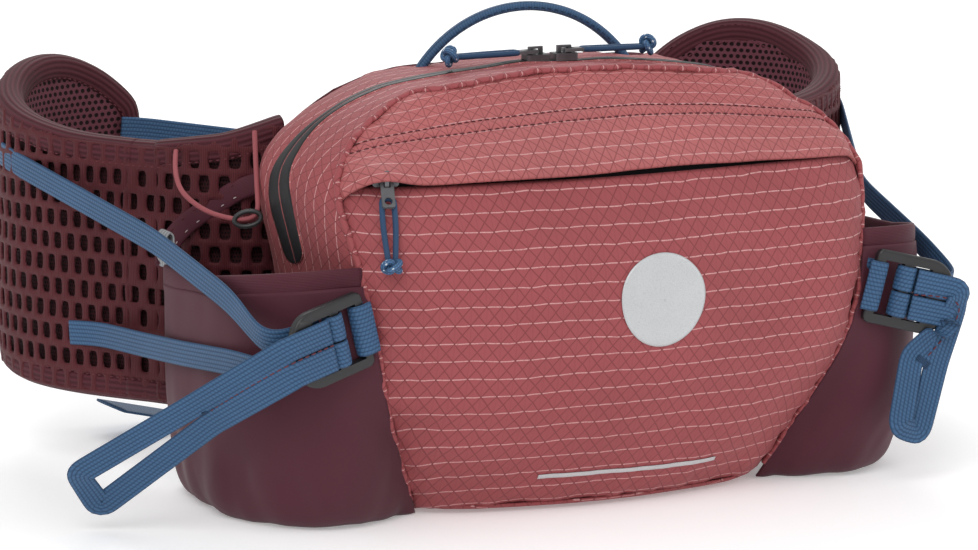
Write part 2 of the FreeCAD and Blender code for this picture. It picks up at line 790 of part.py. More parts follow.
def makeTab(word, place):
    name = word.title().replace("_", "")
    plate = slab(name + "Plate", ("Sizes.tab_long", "Sizes.tab_wide", "Sizes.tab_thick"),
                 ("-Sizes.tab_bar / 2", "-Sizes.tab_wide / 2", "-Sizes.tab_thick / 2"))
    doc.recompute()
    rounded = doc.addObject("Part::Fillet", name + "Round")
    rounded.Base = plate
    rounded.Edges = [(n, 1.0, 1.0) for n in range(1, 13) if upright(plate.Shape.Edges[n - 1])]
    window = slab(name + "Window", ("Sizes.tab_window", "Sizes.arch_wide + 1", "Sizes.tab_thick + 2"),
                  ("Sizes.tab_bar / 2", "-Sizes.arch_wide / 2 - 0.5", "-Sizes.tab_thick / 2 - 1"))
    eye = doc.addObject("Part::Cylinder", name + "Eye")
    eye.Radius = 1.5
    eye.Height = 6
    eye.setExpression("Placement.Base.x", "Sizes.tab_long - 3.2")
    eye.Placement.Base.z = -3
    tab = joined("Part::Cut", name + "Tab", rounded, [window, eye])
    doc.recompute()
    tab.Placement = place
    keep(tab, word)


def hairpin(frame, reach):
    """Cord through a tab's eye and back: both legs lie beside each other in the tab's plane."""
    eye = size("tab_long") - 3.2 + size("tab_bar") / 2
    half = size("hairpin")
    leg = eye + reach
    narrow = half * 0.55
    line = [(leg, narrow), (eye + reach * 0.5, half), (eye + half * 0.4, half), (eye - half, half * 0.9),
            (eye - half, -half * 0.9), (eye + half * 0.4, -half), (eye + reach * 0.5, -half), (leg, -narrow)]
    return [frame.multVec(Vector(x, y, 0)) for x, y in line]


def makeMainSliders():
    radius = size("dome_radius")
    shift = size("slider_long") / 2 + 1.2
    centre = size("bag_height") - radius
    for side, word in ((-1, "left"), (1, "right")):
        turn = shift / radius
        spot = Vector(side * math.sin(turn) * (radius + size("clearance")), size("zip_top_back"),
                      centre + math.cos(turn) * (radius + size("clearance")))
        along = Vector(side * math.cos(turn), 0, -math.sin(turn))
        place = frameAt(spot, along, Vector(0, -side, 0))
        if place.multVec(Vector(0, 0, 1)).z < spot.z:
            place = frameAt(spot, along, Vector(0, side, 0))
        makeSliderPieces(f"zip_slider_{word}", place, False)
        tab = tabFrame(place, 0, 0)
        makeTab(f"zip_tab_{word}", tab)
        label = f"zip_cord_{word}"
        feature(label, cordTube(label, hairpin(tab, 26), size("cord_size")))


def frontAt(x, z):
    """The bag's front surface: its y at x and height z."""
    probe = outer.common(Part.makeLine(Vector(x, -300, z), Vector(x, 0, z)))
    return min(v.Y for v in probe.Vertexes)


def frontPivot():
    """Upright axis behind the bag, about which the front slider's path curves, and its radius."""
    z = flapZ - size("zip_slot") / 2
    reach = size("bag_half_width") - 16
    xs = [reach * n / 6 for n in range(7)]
    ys = [frontAt(x, z) for x in xs]
    drop = ys[-1] - ys[0]
    radius = (reach ** 2 + drop ** 2) / (2 * drop)
    y = min(depth + math.sqrt(radius ** 2 - x * x) for x, depth in zip(xs, ys))
    return y, radius, reach


def makeFrontSlider():
    """Slider of the hidden front zipper, parked at its left end, its tab and cord hanging down."""
    y, radius, reach = frontPivot()
    z = flapZ - size("zip_slot") / 2
    turn = math.asin(reach / radius)
    outward = Vector(-math.sin(turn), -math.cos(turn), 0)
    along = Vector(math.cos(turn), -math.sin(turn), 0)
    spot = Vector(0, y, z) + outward * (radius + size("clearance") - size("zip_recess"))
    place = frameAt(spot, along, Vector(0, 0, 1))
    print("front zip axis y", round(y, 2), "radius", round(radius, 2), "turn", round(math.degrees(turn), 2))
    makeSliderPieces("front_slider", place, True)
    tab = tabFrame(place, 33, -90)
    makeTab("front_tab", tab)
    points = hairpin(tab, 22)
    feature("front_cord", cordTube("front_cord", points, size("cord_size")))


# ---------------------------------------------------------------- waist webbing and buckle

def buckleFrame(side):
    """The buckle's mouth: X runs back along each half's own strap."""
    gap = size("buckle_gap") / 2 * side
    mouth = Vector(size("buckle_x") + gap, size("buckle_y"), size("buckle_z"))
    return frameAt(mouth, Vector(side, 0, 0), Vector(0, 0, 1))


def makeBuckle():
    wide = "Sizes.buckle_wide"
    thick = "Sizes.buckle_thick"
    housing = slab("Housing", ("Sizes.socket_long", wide, thick),
                   ("0", f"-{wide} / 2", f"-{thick} / 2"))
    doc.recompute()
    round_ = doc.addObject("Part::Fillet", "HousingRound")
    round_.Base = housing
    round_.Edges = [(n, 3.0, 3.0) for n in range(1, 13) if upright(housing.Shape.Edges[n - 1])]
    cavity = slab("Cavity", ("Sizes.socket_deep + 5", f"{wide} - 2 * Sizes.buckle_wall",
                             f"{thick} - 2 * Sizes.buckle_wall"),
                  ("-5", f"-{wide} / 2 + Sizes.buckle_wall", f"-{thick} / 2 + Sizes.buckle_wall"))
    window = slab("SideWindow", ("Sizes.latch_long - 9", f"{wide} + 10", "Sizes.latch_thick + 0.8"),
                  ("9", f"-{wide} / 2 - 5", "-Sizes.latch_thick / 2 - 0.4"))
    slot = slab("SocketSlot", ("Sizes.web_slot", "Sizes.waist_web_wide + 1.5", f"{thick} + 4"),
                ("Sizes.socket_long - 3.4 - Sizes.web_slot", "-Sizes.waist_web_wide / 2 - 0.75",
                 f"-{thick} / 2 - 2"))
    socket = joined("Part::Cut", "Socket", round_, [cavity, window, slot])
    doc.recompute()
    socket.Placement = buckleFrame(1)
    keep(socket, "buckle_socket")

    base = slab("PlugBase", ("Sizes.plug_long", wide, f"{thick} - 1"),
                ("Sizes.latch_long + 2", f"-{wide} / 2", f"-{thick} / 2 + 0.5"))
    doc.recompute()
    baseRound = doc.addObject("Part::Fillet", "PlugRound")
    baseRound.Base = base
    baseRound.Edges = [(n, 2.0, 2.0) for n in range(1, 13) if upright(base.Shape.Edges[n - 1])]
    guide = slab("Guide", ("Sizes.latch_long + 3", "Sizes.guide_wide", "2.4"),
                 ("0", "-Sizes.guide_wide / 2", "-1.2"))
    slots = [slab(f"PlugSlot{n}", ("Sizes.web_slot - 0.6", "Sizes.waist_web_wide + 1.5", "20"),
                  (f"Sizes.latch_long + 2 + {3.2 + n * 5.6}", "-Sizes.waist_web_wide / 2 - 0.75", "-10"))
             for n in range(2)]
    plug = joined("Part::Cut", "PlugCut", joined("Part::Fuse", "PlugBody", baseRound, [guide]), slots)
    doc.recompute()
    plug.Placement = buckleFrame(-1)
    keep(plug, "buckle_plug")

    for side, word in ((-1, "lower"), (1, "upper")):
        name = "Latch" + word.title()
        edge = f"Sizes.buckle_wide / 2 - Sizes.latch_inset - Sizes.latch_wide"
        low = edge if side > 0 else f"-({edge}) - Sizes.latch_wide"
        arm = slab(name + "Arm", ("Sizes.latch_long", "Sizes.latch_wide", "Sizes.latch_thick"),
                   ("1.6", low, "-Sizes.latch_thick / 2"))
        barbLow = "Sizes.buckle_wide / 2 - Sizes.latch_inset" if side > 0 else \
            "-Sizes.buckle_wide / 2 + Sizes.latch_inset - 1.6"
        barb = slab(name + "Barb", ("5", "1.6", "Sizes.latch_thick"),
                    ("3", barbLow, "-Sizes.latch_thick / 2"))
        arm = joined("Part::Fuse", name + "Join", arm, [barb])
        doc.recompute()
        arm.Placement = buckleFrame(-1)
        keep(arm, f"latch_{word}")


def makeWaistWebbing():
    wide = size("waist_web_wide")
    thin = size("web_thick")
    up = Vector(0, 0, 1)
    flat = Vector(0, 1, 0)
    plug = buckleFrame(-1)
    socket = buckleFrame(1)
    inside = -size("belt_thick") - 2 * size("binding_wall") - 1.9
    tip = wingPoint(0.985, 116, inside)
    seat = wingPoint(0.93, 117, inside)
    bar = plug.multVec(Vector(size("latch_long") + size("plug_long") + 2.6, 0, 1.5))
    left = strap([seat, tip, bar], wide, thin, [up] * 3)
    hang = plug.multVec(Vector(size("latch_long") + size("plug_long") + 2.6, 0, -1.5))
    lean = Vector(0.3, 0.6, 0.75)
    tail = strap([hang, hang + Vector(-6, 2, -22), Vector(-28, 204, 40), Vector(-46, 190, 12),
                  Vector(-66, 180, 1.2), Vector(-96, 172, 2.4), Vector(-132, 165, 12)],
                 wide, thin, [up + flat * 0.5, lean, lean, flat, flat, flat, flat])
    plugShape = shapeOf("buckle_plug")
    feature("waist_strap_left", Part.makeCompound([largest(web.cut(plugShape)) for web in (left, tail)]))
    farTip = toRight(Part.Vertex(tip), True).Point
    farSeat = toRight(Part.Vertex(seat), True).Point
    rear = socket.multVec(Vector(size("socket_long") + 0.8, 0, 0))
    right = strap([farSeat, farTip, rear], wide, thin, [up] * 3)
    feature("waist_strap_right", largest(right.cut(shapeOf("buckle_socket"))))


# ---------------------------------------------------------------- handle, trims and bungees

def makeHandle():
    half = size("handle_half")
    y = size("bag_back") - 3
    low = domeTop(half) - 3
    arc = Part.Arc(Vector(-half, y, low), Vector(0, y, low + size("handle_rise")), Vector(half, y, low))
    path = Part.Wire([arc.toShape()])
    start = arc.StartPoint
    ring = Part.Circle(start, arc.tangent(arc.FirstParameter)[0], size("handle_size") / 2)
    tube = path.makePipeShell([Part.Wire([ring.toShape()])], True, False)
    centre = Vector(0, -200, size("bag_height") - size("dome_radius"))
    dome = Part.makeCylinder(size("dome_radius"), 400, centre, Vector(0, 1, 0))
    feature("grab_handle", tube.cut(dome))


def makeReflective():
    """A plain reflective disc and a short bar: thin films that follow the front panel."""
    film = bagForm(-0.35).cut(outer)
    spot = Vector(6, -200, 86)
    disc = Part.makeCylinder(size("mark_size") / 2, 170, spot, Vector(0, 1, 0))
    feature("reflective_mark", largest(film.common(disc)))
    bar = Part.makeBox(size("bar_long"), 170, 2, Vector(-34, -200, 14))
    feature("reflective_bar", largest(film.common(bar)))


def makeTabsAndBungees():
    """Grey pull tabs at the pockets' rear corners, and an elastic cord with a hook on each side."""
    loops = []
    for side in (-1, 1):
        top = Vector(side * (size("hinge_side") + 6.4), size("hinge_back") - 33, size("pocket_height"))
        ring = flatRing(13, 0.8, 1.1, 10, 0)
        ring.Placement = frameAt(top, Vector(side * 0.1, 0, 1), Vector(0, 1, 0))
        hem = shapeOf("pocket_hem_left" if side < 0 else "pocket_hem_right")
        loops.append(largest(ring.cut(hem)))
    feature("loop_tabs", Part.makeCompound(loops))
    line = [Vector(-139, 66, 134), Vector(-146, 52, 124), Vector(-141, 36, 115), Vector(-131, 22, 112),
            Vector(-123, 19, 113.5), Vector(-121.2, 25, 124), Vector(-118.5, 33, 135), Vector(-115.6, 41, 143.5)]
    tube = cordTube("bungee_left", line, size("bungee_size"))
    pair("bungee", tube)
    bend = (line[3] + line[4]) * 0.5
    along = line[4] - line[3]
    hooks = []
    for side in (-1, 1):
        block = Part.makeBox(11, 4.5, 3.4, Vector(-5.5, -2.25, -1.7))
        block = block.makeFillet(1.2, [e for e in block.Edges if upright(e)])
        spot = Vector(bend.x * -side, bend.y, bend.z)
        course = Vector(along.x * -side, along.y, along.z)
        block.Placement = frameAt(spot, course, Vector(0, 0, 1))
        hooks.append(block)
    feature("cord_hooks", Part.makeCompound(hooks))


print("bag volume", round(outer.Volume / 1000), "cm3")
makeBag()
makeBackPad()
makeBelt()
makePockets()
makeLadderLock()
makeLockWebbing()
makeCompressionStraps()
makePullLoop()
makeMainSliders()
makeFrontSlider()
makeBuckle()
makeWaistWebbing()
makeHandle()
makeReflective()
makeTabsAndBungees()

doc.recompute()
os.makedirs("parts", exist_ok=True)
for obj in nodes:
    if "Invalid" in obj.State or "Error" in obj.State or obj.Shape.isNull() or not obj.Shape.isValid():
        raise RuntimeError(f"{obj.Label} did not build")
    box = obj.Shape.BoundBox
    print(obj.Label, len(obj.Shape.Solids), "solids", round(obj.Shape.Volume), "mm3",
          [round(v) for v in (box.XMin, box.YMin, box.ZMin, box.XMax, box.YMax, box.ZMax)])
    obj.Shape.exportStep(f"parts/{obj.Label}.step")
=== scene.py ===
import bmesh
import bpy
import json
import math
import numpy as np
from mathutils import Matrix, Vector, noise

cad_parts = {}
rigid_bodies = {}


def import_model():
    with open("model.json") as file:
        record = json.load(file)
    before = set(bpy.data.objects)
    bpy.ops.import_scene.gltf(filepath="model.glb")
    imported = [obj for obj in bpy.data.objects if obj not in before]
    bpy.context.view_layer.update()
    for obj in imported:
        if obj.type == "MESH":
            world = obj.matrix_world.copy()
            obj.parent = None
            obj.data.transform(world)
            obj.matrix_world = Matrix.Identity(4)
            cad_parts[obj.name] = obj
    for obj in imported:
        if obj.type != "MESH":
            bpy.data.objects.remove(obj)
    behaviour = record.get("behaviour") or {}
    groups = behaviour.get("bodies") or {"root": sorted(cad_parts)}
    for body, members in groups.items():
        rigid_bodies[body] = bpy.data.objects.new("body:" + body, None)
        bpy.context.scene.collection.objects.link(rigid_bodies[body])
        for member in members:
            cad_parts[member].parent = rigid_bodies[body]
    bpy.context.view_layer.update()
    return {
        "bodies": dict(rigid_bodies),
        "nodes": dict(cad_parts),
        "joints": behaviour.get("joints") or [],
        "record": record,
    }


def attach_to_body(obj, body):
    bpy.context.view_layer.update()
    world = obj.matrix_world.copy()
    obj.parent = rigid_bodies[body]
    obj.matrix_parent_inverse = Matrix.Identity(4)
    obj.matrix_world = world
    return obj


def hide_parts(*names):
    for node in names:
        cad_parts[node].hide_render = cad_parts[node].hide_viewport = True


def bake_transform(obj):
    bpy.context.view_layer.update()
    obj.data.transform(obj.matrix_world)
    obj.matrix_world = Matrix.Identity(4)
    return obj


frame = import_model()
print("waist pack: frame loaded")


# lines and frames, in millimetres until a mesh is made

def unit(v):
    v = np.asarray(v, float)
    return v / np.maximum(np.linalg.norm(v, axis=-1, keepdims=True), 1e-9)


def spline(points, closed=False):
    # a cubic through the points; returns it and the knots' places along it
    p = np.array(points, float)
    if closed:
        p = np.vstack([p, p[:1]])
    knots = np.concatenate([[0], np.cumsum(np.linalg.norm(np.diff(p, axis=0), axis=1))])
    n = len(p)
    h = np.diff(knots)
    slope = np.diff(p, axis=0) / h[:, None]
    a = np.eye(n)
    b = np.zeros_like(p)
    for i in range(1, n - 1):
        a[i, i - 1:i + 2] = h[i - 1], 2 * (h[i - 1] + h[i]), h[i]
        b[i] = 6 * (slope[i] - slope[i - 1])
    if closed:
        a[0, n - 1] = -1
        a[n - 1] = 0
        a[n - 1, n - 2], a[n - 1, 0], a[n - 1, 1] = h[-1], 2 * (h[-1] + h[0]), h[0]
        b[n - 1] = 6 * (slope[0] - slope[-1])
    m = np.linalg.solve(a, b)

    def at(t):
        t = np.atleast_1d(np.asarray(t, float))
        i = np.clip(np.searchsorted(knots, t, "right") - 1, 0, n - 2)
        s, hi = (t - knots[i])[:, None], h[i][:, None]
        first = slope[i] - hi * (2 * m[i] + m[i + 1]) / 6
        return p[i] + s * (first + s * (m[i] / 2 + s * (m[i + 1] - m[i]) / (6 * hi)))
    return at, knots


def resample(points, step):
    # points at even steps along a dense line
    p = np.asarray(points, float)
    d = np.concatenate([[0], np.cumsum(np.linalg.norm(np.diff(p, axis=0), axis=1))])
    count = max(2, int(round(d[-1] / step)) + 1)
    at = np.linspace(0, d[-1], count)
    return np.stack([np.interp(at, d, p[:, k]) for k in range(p.shape[1])], 1)


def curveThrough(points, step=2.0):
    at, knots = spline(points)
    return resample(at(np.linspace(0, knots[-1], 40 * len(points))), step)


def ease(t):
    t = np.clip(t, 0, 1)
    return t * t * (3 - 2 * t)


def bumpy(points, size, seed=0, octaves=2):
    # smooth noise at each point, about -1 to 1; size is the wave in mm, one or three numbers
    scale = np.broadcast_to(1 / np.asarray(size, float), (3,))
    flat = np.reshape(points, (-1, 3)) * scale + seed * 17.3
    values = [noise.fractal(Vector(q), 1.0, 2.0, octaves) for q in flat]
    return np.reshape(values, np.shape(points)[:-1])


def gridNormals(p):
    return unit(np.cross(np.gradient(p, axis=1), np.gradient(p, axis=0)))


def distances(p, axis):
    d = np.linalg.norm(np.diff(p, axis=axis), axis=-1)
    first = np.zeros_like(np.take(d, [0], axis=axis))
    return np.concatenate([first, np.cumsum(d, axis=axis)], axis=axis)


# meshes

def makeMesh(name, points, faces, cloth, material, smooth=True):
    mesh = bpy.data.meshes.new(name)
    mesh.from_pydata((np.reshape(points, (-1, 3)) / 1000).tolist(), [], faces)
    mesh.update()
    if cloth is not None:
        layer = mesh.attributes.new("cloth", "FLOAT_VECTOR", "POINT")
        flat = np.reshape(cloth, (-1, 3)).astype(np.float32)
        layer.data.foreach_set("vector", flat.ravel())
    mesh.materials.append(material)
    for face in mesh.polygons:
        face.use_smooth = smooth
    piece = bpy.data.objects.new(name, mesh)
    bpy.context.scene.collection.objects.link(piece)
    return piece


def gridFaces(rows, cols, wrap=False, start=0):
    faces = []
    for r in range(rows - 1):
        for c in range(cols if wrap else cols - 1):
            d = (c + 1) % cols
            faces.append((start + r * cols + c, start + r * cols + d,
                          start + (r + 1) * cols + d, start + (r + 1) * cols + c))
    return faces


def clothOf(p, u=None, v=None):
    # fabric coordinates in mm: across along the columns, up along the rows
    u = distances(p, 1) if u is None else np.broadcast_to(u, p.shape[:2])
    v = distances(p, 0) if v is None else np.broadcast_to(v, p.shape[:2])
    return np.stack([u, v, np.zeros(p.shape[:2])], -1)


def sheet(name, p, cloth, material, thick=1.0, inwards=True):
    # a grid of fabric with real thickness
    piece = makeMesh(name, p, gridFaces(*p.shape[:2]), cloth, material)
    solid = piece.modifiers.new("thickness", "SOLIDIFY")
    solid.thickness = thick / 1000
    solid.offset = -1 if inwards else 1
    return piece


def sweep(name, path, normals, profile, material, capped=True):
    # a closed profile carried along a path; profile points are (across, out)
    path, normals = np.asarray(path, float), unit(normals)
    run = unit(np.gradient(path, axis=0))
    normals = unit(normals - run * np.sum(run * normals, axis=1, keepdims=True))
    side = np.cross(run, normals)
    profile = np.asarray(profile, float)
    p = (path[:, None] + side[:, None] * profile[None, :, :1] + normals[:, None] * profile[None, :, 1:2])
    rows, cols = p.shape[:2]
    around = distances(np.dstack([profile[None], np.zeros((1, cols, 1))]), 1)[0]
    along = distances(path[:, None], 0)[:, 0]
    cloth = np.stack([np.broadcast_to(profile[:, 0], (rows, cols)), np.broadcast_to(along[:, None], (rows, cols)),
                      np.broadcast_to(around, (rows, cols))], -1)
    faces = gridFaces(rows, cols, True)
    if capped:
        faces += [tuple(range(cols)), tuple((rows - 1) * cols + c for c in reversed(range(cols)))]
    piece = makeMesh(name, p, faces, cloth, material)
    facedOut(piece)
    return piece


def facedOut(piece):
    # turn a closed mesh's faces outward
    work = bmesh.new()
    work.from_mesh(piece.data)
    bmesh.ops.recalc_face_normals(work, faces=work.faces)
    work.to_mesh(piece.data)
    work.free()


def oval(wide, thick, count=20, power=2.6):
    # a webbing's section: flat with soft edges
    points = []
    for n in range(count):
        a = 2 * math.pi * n / count
        c, s = math.cos(a), math.sin(a)
        points.append((math.copysign(abs(c) ** (2 / power), c) * wide / 2,
                       math.copysign(abs(s) ** (2 / power), s) * thick / 2))
    return points


# camera and light

studio = dict(place=(-0.728903, -1.491421, 0.377089), aim=(-0.021367, 0.025895, 0.081887), lens=156.4,
              keyPlace=(-1.3, -1.6, 2.2), keySize=1.6, keyPower=30, fillPlace=(1.8, -0.9, 1.2), fillSize=1.5,
              fillPower=9, rimPlace=(0.6, 1.8, 1.7), rimSize=1.2, rimPower=16, air=0.66, floor=(0.9, 0.9, 0.905))


def lookAt(thing, aim):
    turn = (Vector(aim) - thing.location).to_track_quat("-Z", "Y")
    thing.rotation_euler = turn.to_euler()


def areaLight(name, place, size, power):
    light = bpy.data.lights.new(name, "AREA")
    light.size = size
    light.energy = power
    lamp = bpy.data.objects.new(name, light)
    lamp.location = place
    lookAt(lamp, (0, 0.06, 0.06))
    bpy.context.scene.collection.objects.link(lamp)


def makeStudio():
    scene = bpy.context.scene
    camera = bpy.data.objects.new("camera", bpy.data.cameras.new("camera"))
    camera.location = studio["place"]
    camera.data.lens = studio["lens"]
    camera.data.sensor_width = 36
    camera.data.clip_end = 30
    lookAt(camera, studio["aim"])
    scene.collection.objects.link(camera)
    scene.camera = camera
    for name in ("key", "fill", "rim"):
        areaLight(name, studio[name + "Place"], studio[name + "Size"], studio[name + "Power"])
    world = bpy.data.worlds.new("air")
    world.use_nodes = True
    world.node_tree.nodes["Background"].inputs["Color"].default_value = (1, 1, 1, 1)
    world.node_tree.nodes["Background"].inputs["Strength"].default_value = studio["air"]
    scene.world = world
    scene.view_settings.view_transform = "Standard"


makeStudio()
print("waist pack: camera and lights")


# shared shader parts

def add(tree, kind, inputs=None, **settings):
    node = tree.nodes.new(kind)
    for key, value in settings.items():
        setattr(node, key, value)
    for key, value in (inputs or {}).items():
        if isinstance(value, bpy.types.NodeSocket):
            tree.links.new(value, node.inputs[key])
        else:
            node.inputs[key].default_value = value
    return node


def calc(tree, operation, *values):
    return add(tree, "ShaderNodeMath", dict(enumerate(values)), operation=operation).outputs[0]


def blendColor(tree, factor, a, b, mode="MIX"):
    node = add(tree, "ShaderNodeMix", {0: factor, 6: a, 7: b}, data_type="RGBA", blend_type=mode)
    return node.outputs[2]


def line(tree, value, wide, soft):
    # 1 where the value is near a whole number and a half, with soft sides
    off = calc(tree, "ABSOLUTE", calc(tree, "SUBTRACT", calc(tree, "FRACT", value), 0.5))
    return add(tree, "ShaderNodeMapRange", {"Value": off, "From Min": wide, "From Max": wide + soft,
                                            "To Min": 1.0, "To Max": 0.0}, interpolation_type="SMOOTHSTEP").outputs[0]


def group(name, inputs, outputs):
    # an empty shader group with named sockets; returns the tree, its inputs and its output node
    tree = bpy.data.node_groups.new(name, "ShaderNodeTree")
    for socket, value in inputs.items():
        kind = "NodeSocketVector" if isinstance(value, tuple) else "NodeSocketFloat"
        made = tree.interface.new_socket(socket, in_out="INPUT", socket_type=kind)
        if not isinstance(value, tuple):
            made.default_value = value
    for socket, kind in outputs.items():
        tree.interface.new_socket(socket, in_out="OUTPUT", socket_type=kind)
    enter = tree.nodes.new("NodeGroupInput")
    leave = tree.nodes.new("NodeGroupOutput")
    return tree, {s.name: s for s in enter.outputs}, leave


def place(tree, name, inputs):
    node = tree.nodes.new("ShaderNodeGroup")
    node.node_tree = bpy.data.node_groups[name]
    for key, value in inputs.items():
        if isinstance(value, bpy.types.NodeSocket):
            tree.links.new(value, node.inputs[key])
        else:
            node.inputs[key].default_value = value
    return node.outputs


def makeRipstopGroup():
    # rows of pale reflective dashes over a net of darker threads
    tree, enter, leave = group("ripstopThreads", {"Cloth": (0, 0, 0), "Row": 7.0, "Step": 6.0, "Upright": 0.3},
                               {"White": "NodeSocketFloat", "Dark": "NodeSocketFloat", "Height": "NodeSocketFloat"})
    xyz = add(tree, "ShaderNodeSeparateXYZ", {0: enter["Cloth"]}).outputs
    wave = add(tree, "ShaderNodeTexNoise", {"Vector": enter["Cloth"], "Scale": 0.11, "Detail": 1.0}).outputs[0]
    sway = calc(tree, "MULTIPLY", calc(tree, "SUBTRACT", wave, 0.5), 1.1)
    x = calc(tree, "DIVIDE", calc(tree, "ADD", xyz[0], sway), enter["Step"])
    y = calc(tree, "DIVIDE", calc(tree, "ADD", xyz[1], sway), enter["Row"])
    row = line(tree, y, 0.022, 0.02)
    tick = line(tree, calc(tree, "ADD", x, 0.5), 0.045, 0.03)
    fine = add(tree, "ShaderNodeTexNoise", {"Vector": enter["Cloth"], "Scale": 1.6, "Detail": 1.0}).outputs[0]
    worn = add(tree, "ShaderNodeMapRange", {"Value": fine, "From Min": 0.3, "From Max": 0.55,
                                            "To Min": 0.45, "To Max": 1.0}).outputs[0]
    white = calc(tree, "MULTIPLY", calc(tree, "MULTIPLY", row, calc(tree, "SUBTRACT", 1.0, tick)), worn)
    rising = line(tree, calc(tree, "ADD", x, y), 0.03, 0.03)
    falling = line(tree, calc(tree, "SUBTRACT", x, y), 0.03, 0.03)
    upright = calc(tree, "MULTIPLY", line(tree, calc(tree, "ADD", x, 0.5), 0.022, 0.025), enter["Upright"])
    net = calc(tree, "MAXIMUM", calc(tree, "MAXIMUM", rising, falling), upright)
    dark = calc(tree, "MAXIMUM", calc(tree, "MULTIPLY", net, 0.8), calc(tree, "MULTIPLY", row, tick))
    weave = [add(tree, "ShaderNodeTexWave", {"Vector": enter["Cloth"], "Scale": 0.75, "Distortion": 0.4},
                 wave_type="BANDS", bands_direction=way).outputs[1] for way in ("X", "Y")]
    height = calc(tree, "ADD", calc(tree, "MULTIPLY", calc(tree, "ADD", *weave), 0.12),
                  calc(tree, "MAXIMUM", net, row))
    for socket, value in (("White", white), ("Dark", dark), ("Height", height)):
        tree.links.new(value, leave.inputs[socket])


def makeWebbingGroup():
    # ribs that run along a strap, crossed by small beads set alternately; Shade is their height as a tone, used to
    # paint the hollows in shade
    tree, enter, leave = group("webbingWeave", {"Cloth": (0, 0, 0), "Rib": 1.25, "Bead": 1.1},
                               {"Height": "NodeSocketFloat", "Shade": "NodeSocketFloat"})
    xyz = add(tree, "ShaderNodeSeparateXYZ", {0: enter["Cloth"]}).outputs
    x = calc(tree, "DIVIDE", xyz[0], enter["Rib"])
    shift = calc(tree, "MULTIPLY", calc(tree, "MODULO", calc(tree, "FLOOR", x), 2.0), 0.5)
    y = calc(tree, "ADD", calc(tree, "DIVIDE", xyz[1], enter["Bead"]), shift)
    lean = calc(tree, "ADD", y, calc(tree, "MULTIPLY", calc(tree, "FRACT", x), 0.35))
    crown = [calc(tree, "SUBTRACT", 1.0, calc(tree, "POWER", calc(
        tree, "ABSOLUTE", calc(tree, "MULTIPLY", calc(tree, "SUBTRACT", calc(tree, "FRACT", v), 0.5), 2.0)), 2.0))
        for v in (x, lean)]
    height = calc(tree, "MULTIPLY", crown[0], calc(tree, "ADD", 0.35, calc(tree, "MULTIPLY", crown[1], 0.65)))
    tree.links.new(height, leave.inputs["Height"])
    shade = add(tree, "ShaderNodeMapRange", {"Value": height, "From Min": 0.1, "From Max": 0.8}).outputs[0]
    tree.links.new(shade, leave.inputs["Shade"])


def makeRibGroup():
    # fine parallel ribs, as in tape and stretch knit, broken by a little noise; Shade is their height as a tone, used
    # to paint the grooves in shade
    tree, enter, leave = group("fineRibs", {"Cloth": (0, 0, 0), "Pitch": 0.8, "Noise": 0.3},
                               {"Height": "NodeSocketFloat", "Shade": "NodeSocketFloat"})
    xyz = add(tree, "ShaderNodeSeparateXYZ", {0: enter["Cloth"]}).outputs
    fuzz = add(tree, "ShaderNodeTexNoise", {"Vector": enter["Cloth"], "Scale": 1.7, "Detail": 3.0}).outputs[0]
    wave = calc(tree, "COSINE", calc(tree, "MULTIPLY", calc(tree, "DIVIDE", xyz[2], enter["Pitch"]), 6.2832))
    height = calc(tree, "ADD", calc(tree, "MULTIPLY", wave, 0.5), calc(tree, "MULTIPLY", fuzz, enter["Noise"]))
    tree.links.new(height, leave.inputs["Height"])
    tree.links.new(add(tree, "ShaderNodeMapRange", {"Value": height, "From Min": -0.4, "From Max": 0.7}).outputs[0],
                   leave.inputs["Shade"])


def makeMottleGroup():
    # slow change of tone over a surface, and fine dust and fibre specks
    tree, enter, leave = group("mottle", {"Vector": (0, 0, 0), "Size": 40.0, "Contrast": 0.2},
                               {"Tone": "NodeSocketFloat", "Speck": "NodeSocketFloat"})
    scale = calc(tree, "DIVIDE", 1000.0, enter["Size"])
    slow = add(tree, "ShaderNodeTexNoise", {"Vector": enter["Vector"], "Scale": scale, "Detail": 3.0}).outputs[0]
    fast = add(tree, "ShaderNodeTexNoise", {"Vector": enter["Vector"], "Scale": 2400.0, "Detail": 2.0}).outputs[0]
    tone = calc(tree, "ADD", 1.0, calc(tree, "MULTIPLY", calc(tree, "SUBTRACT", slow, 0.5), enter["Contrast"]))
    speck = add(tree, "ShaderNodeMapRange", {"Value": fast, "From Min": 0.62, "From Max": 0.75}).outputs[0]
    tree.links.new(tone, leave.inputs["Tone"])
    tree.links.new(speck, leave.inputs["Speck"])


def makeNetGroup():
    # small rounded holes set alternately: the fine side of a spacer mesh; the Hole mask is where the netting paints its
    # holes in shade
    tree, enter, leave = group("fineNet", {"Cloth": (0, 0, 0), "Wide": 3.2, "Tall": 2.6, "Hole": 0.3},
                               {"Hole": "NodeSocketFloat", "Height": "NodeSocketFloat"})
    xyz = add(tree, "ShaderNodeSeparateXYZ", {0: enter["Cloth"]}).outputs
    y = calc(tree, "DIVIDE", xyz[1], enter["Tall"])
    shift = calc(tree, "MULTIPLY", calc(tree, "MODULO", calc(tree, "ABSOLUTE", calc(tree, "FLOOR", y)), 2.0), 0.5)
    x = calc(tree, "ADD", calc(tree, "DIVIDE", xyz[0], enter["Wide"]), shift)
    offs = [calc(tree, "POWER", calc(tree, "SUBTRACT", calc(tree, "FRACT", v), 0.5), 2.0) for v in (x, y)]
    far = calc(tree, "SQRT", calc(tree, "ADD", *offs))
    shadedHole = add(tree, "ShaderNodeMapRange", {"Value": far, "From Min": enter["Hole"], "To Min": 1.0, "To Max": 0.0,
                                            "From Max": calc(tree, "ADD", enter["Hole"], 0.1)}).outputs[0]
    tree.links.new(shadedHole, leave.inputs["Hole"])
    tree.links.new(calc(tree, "SUBTRACT", 1.0, shadedHole), leave.inputs["Height"])


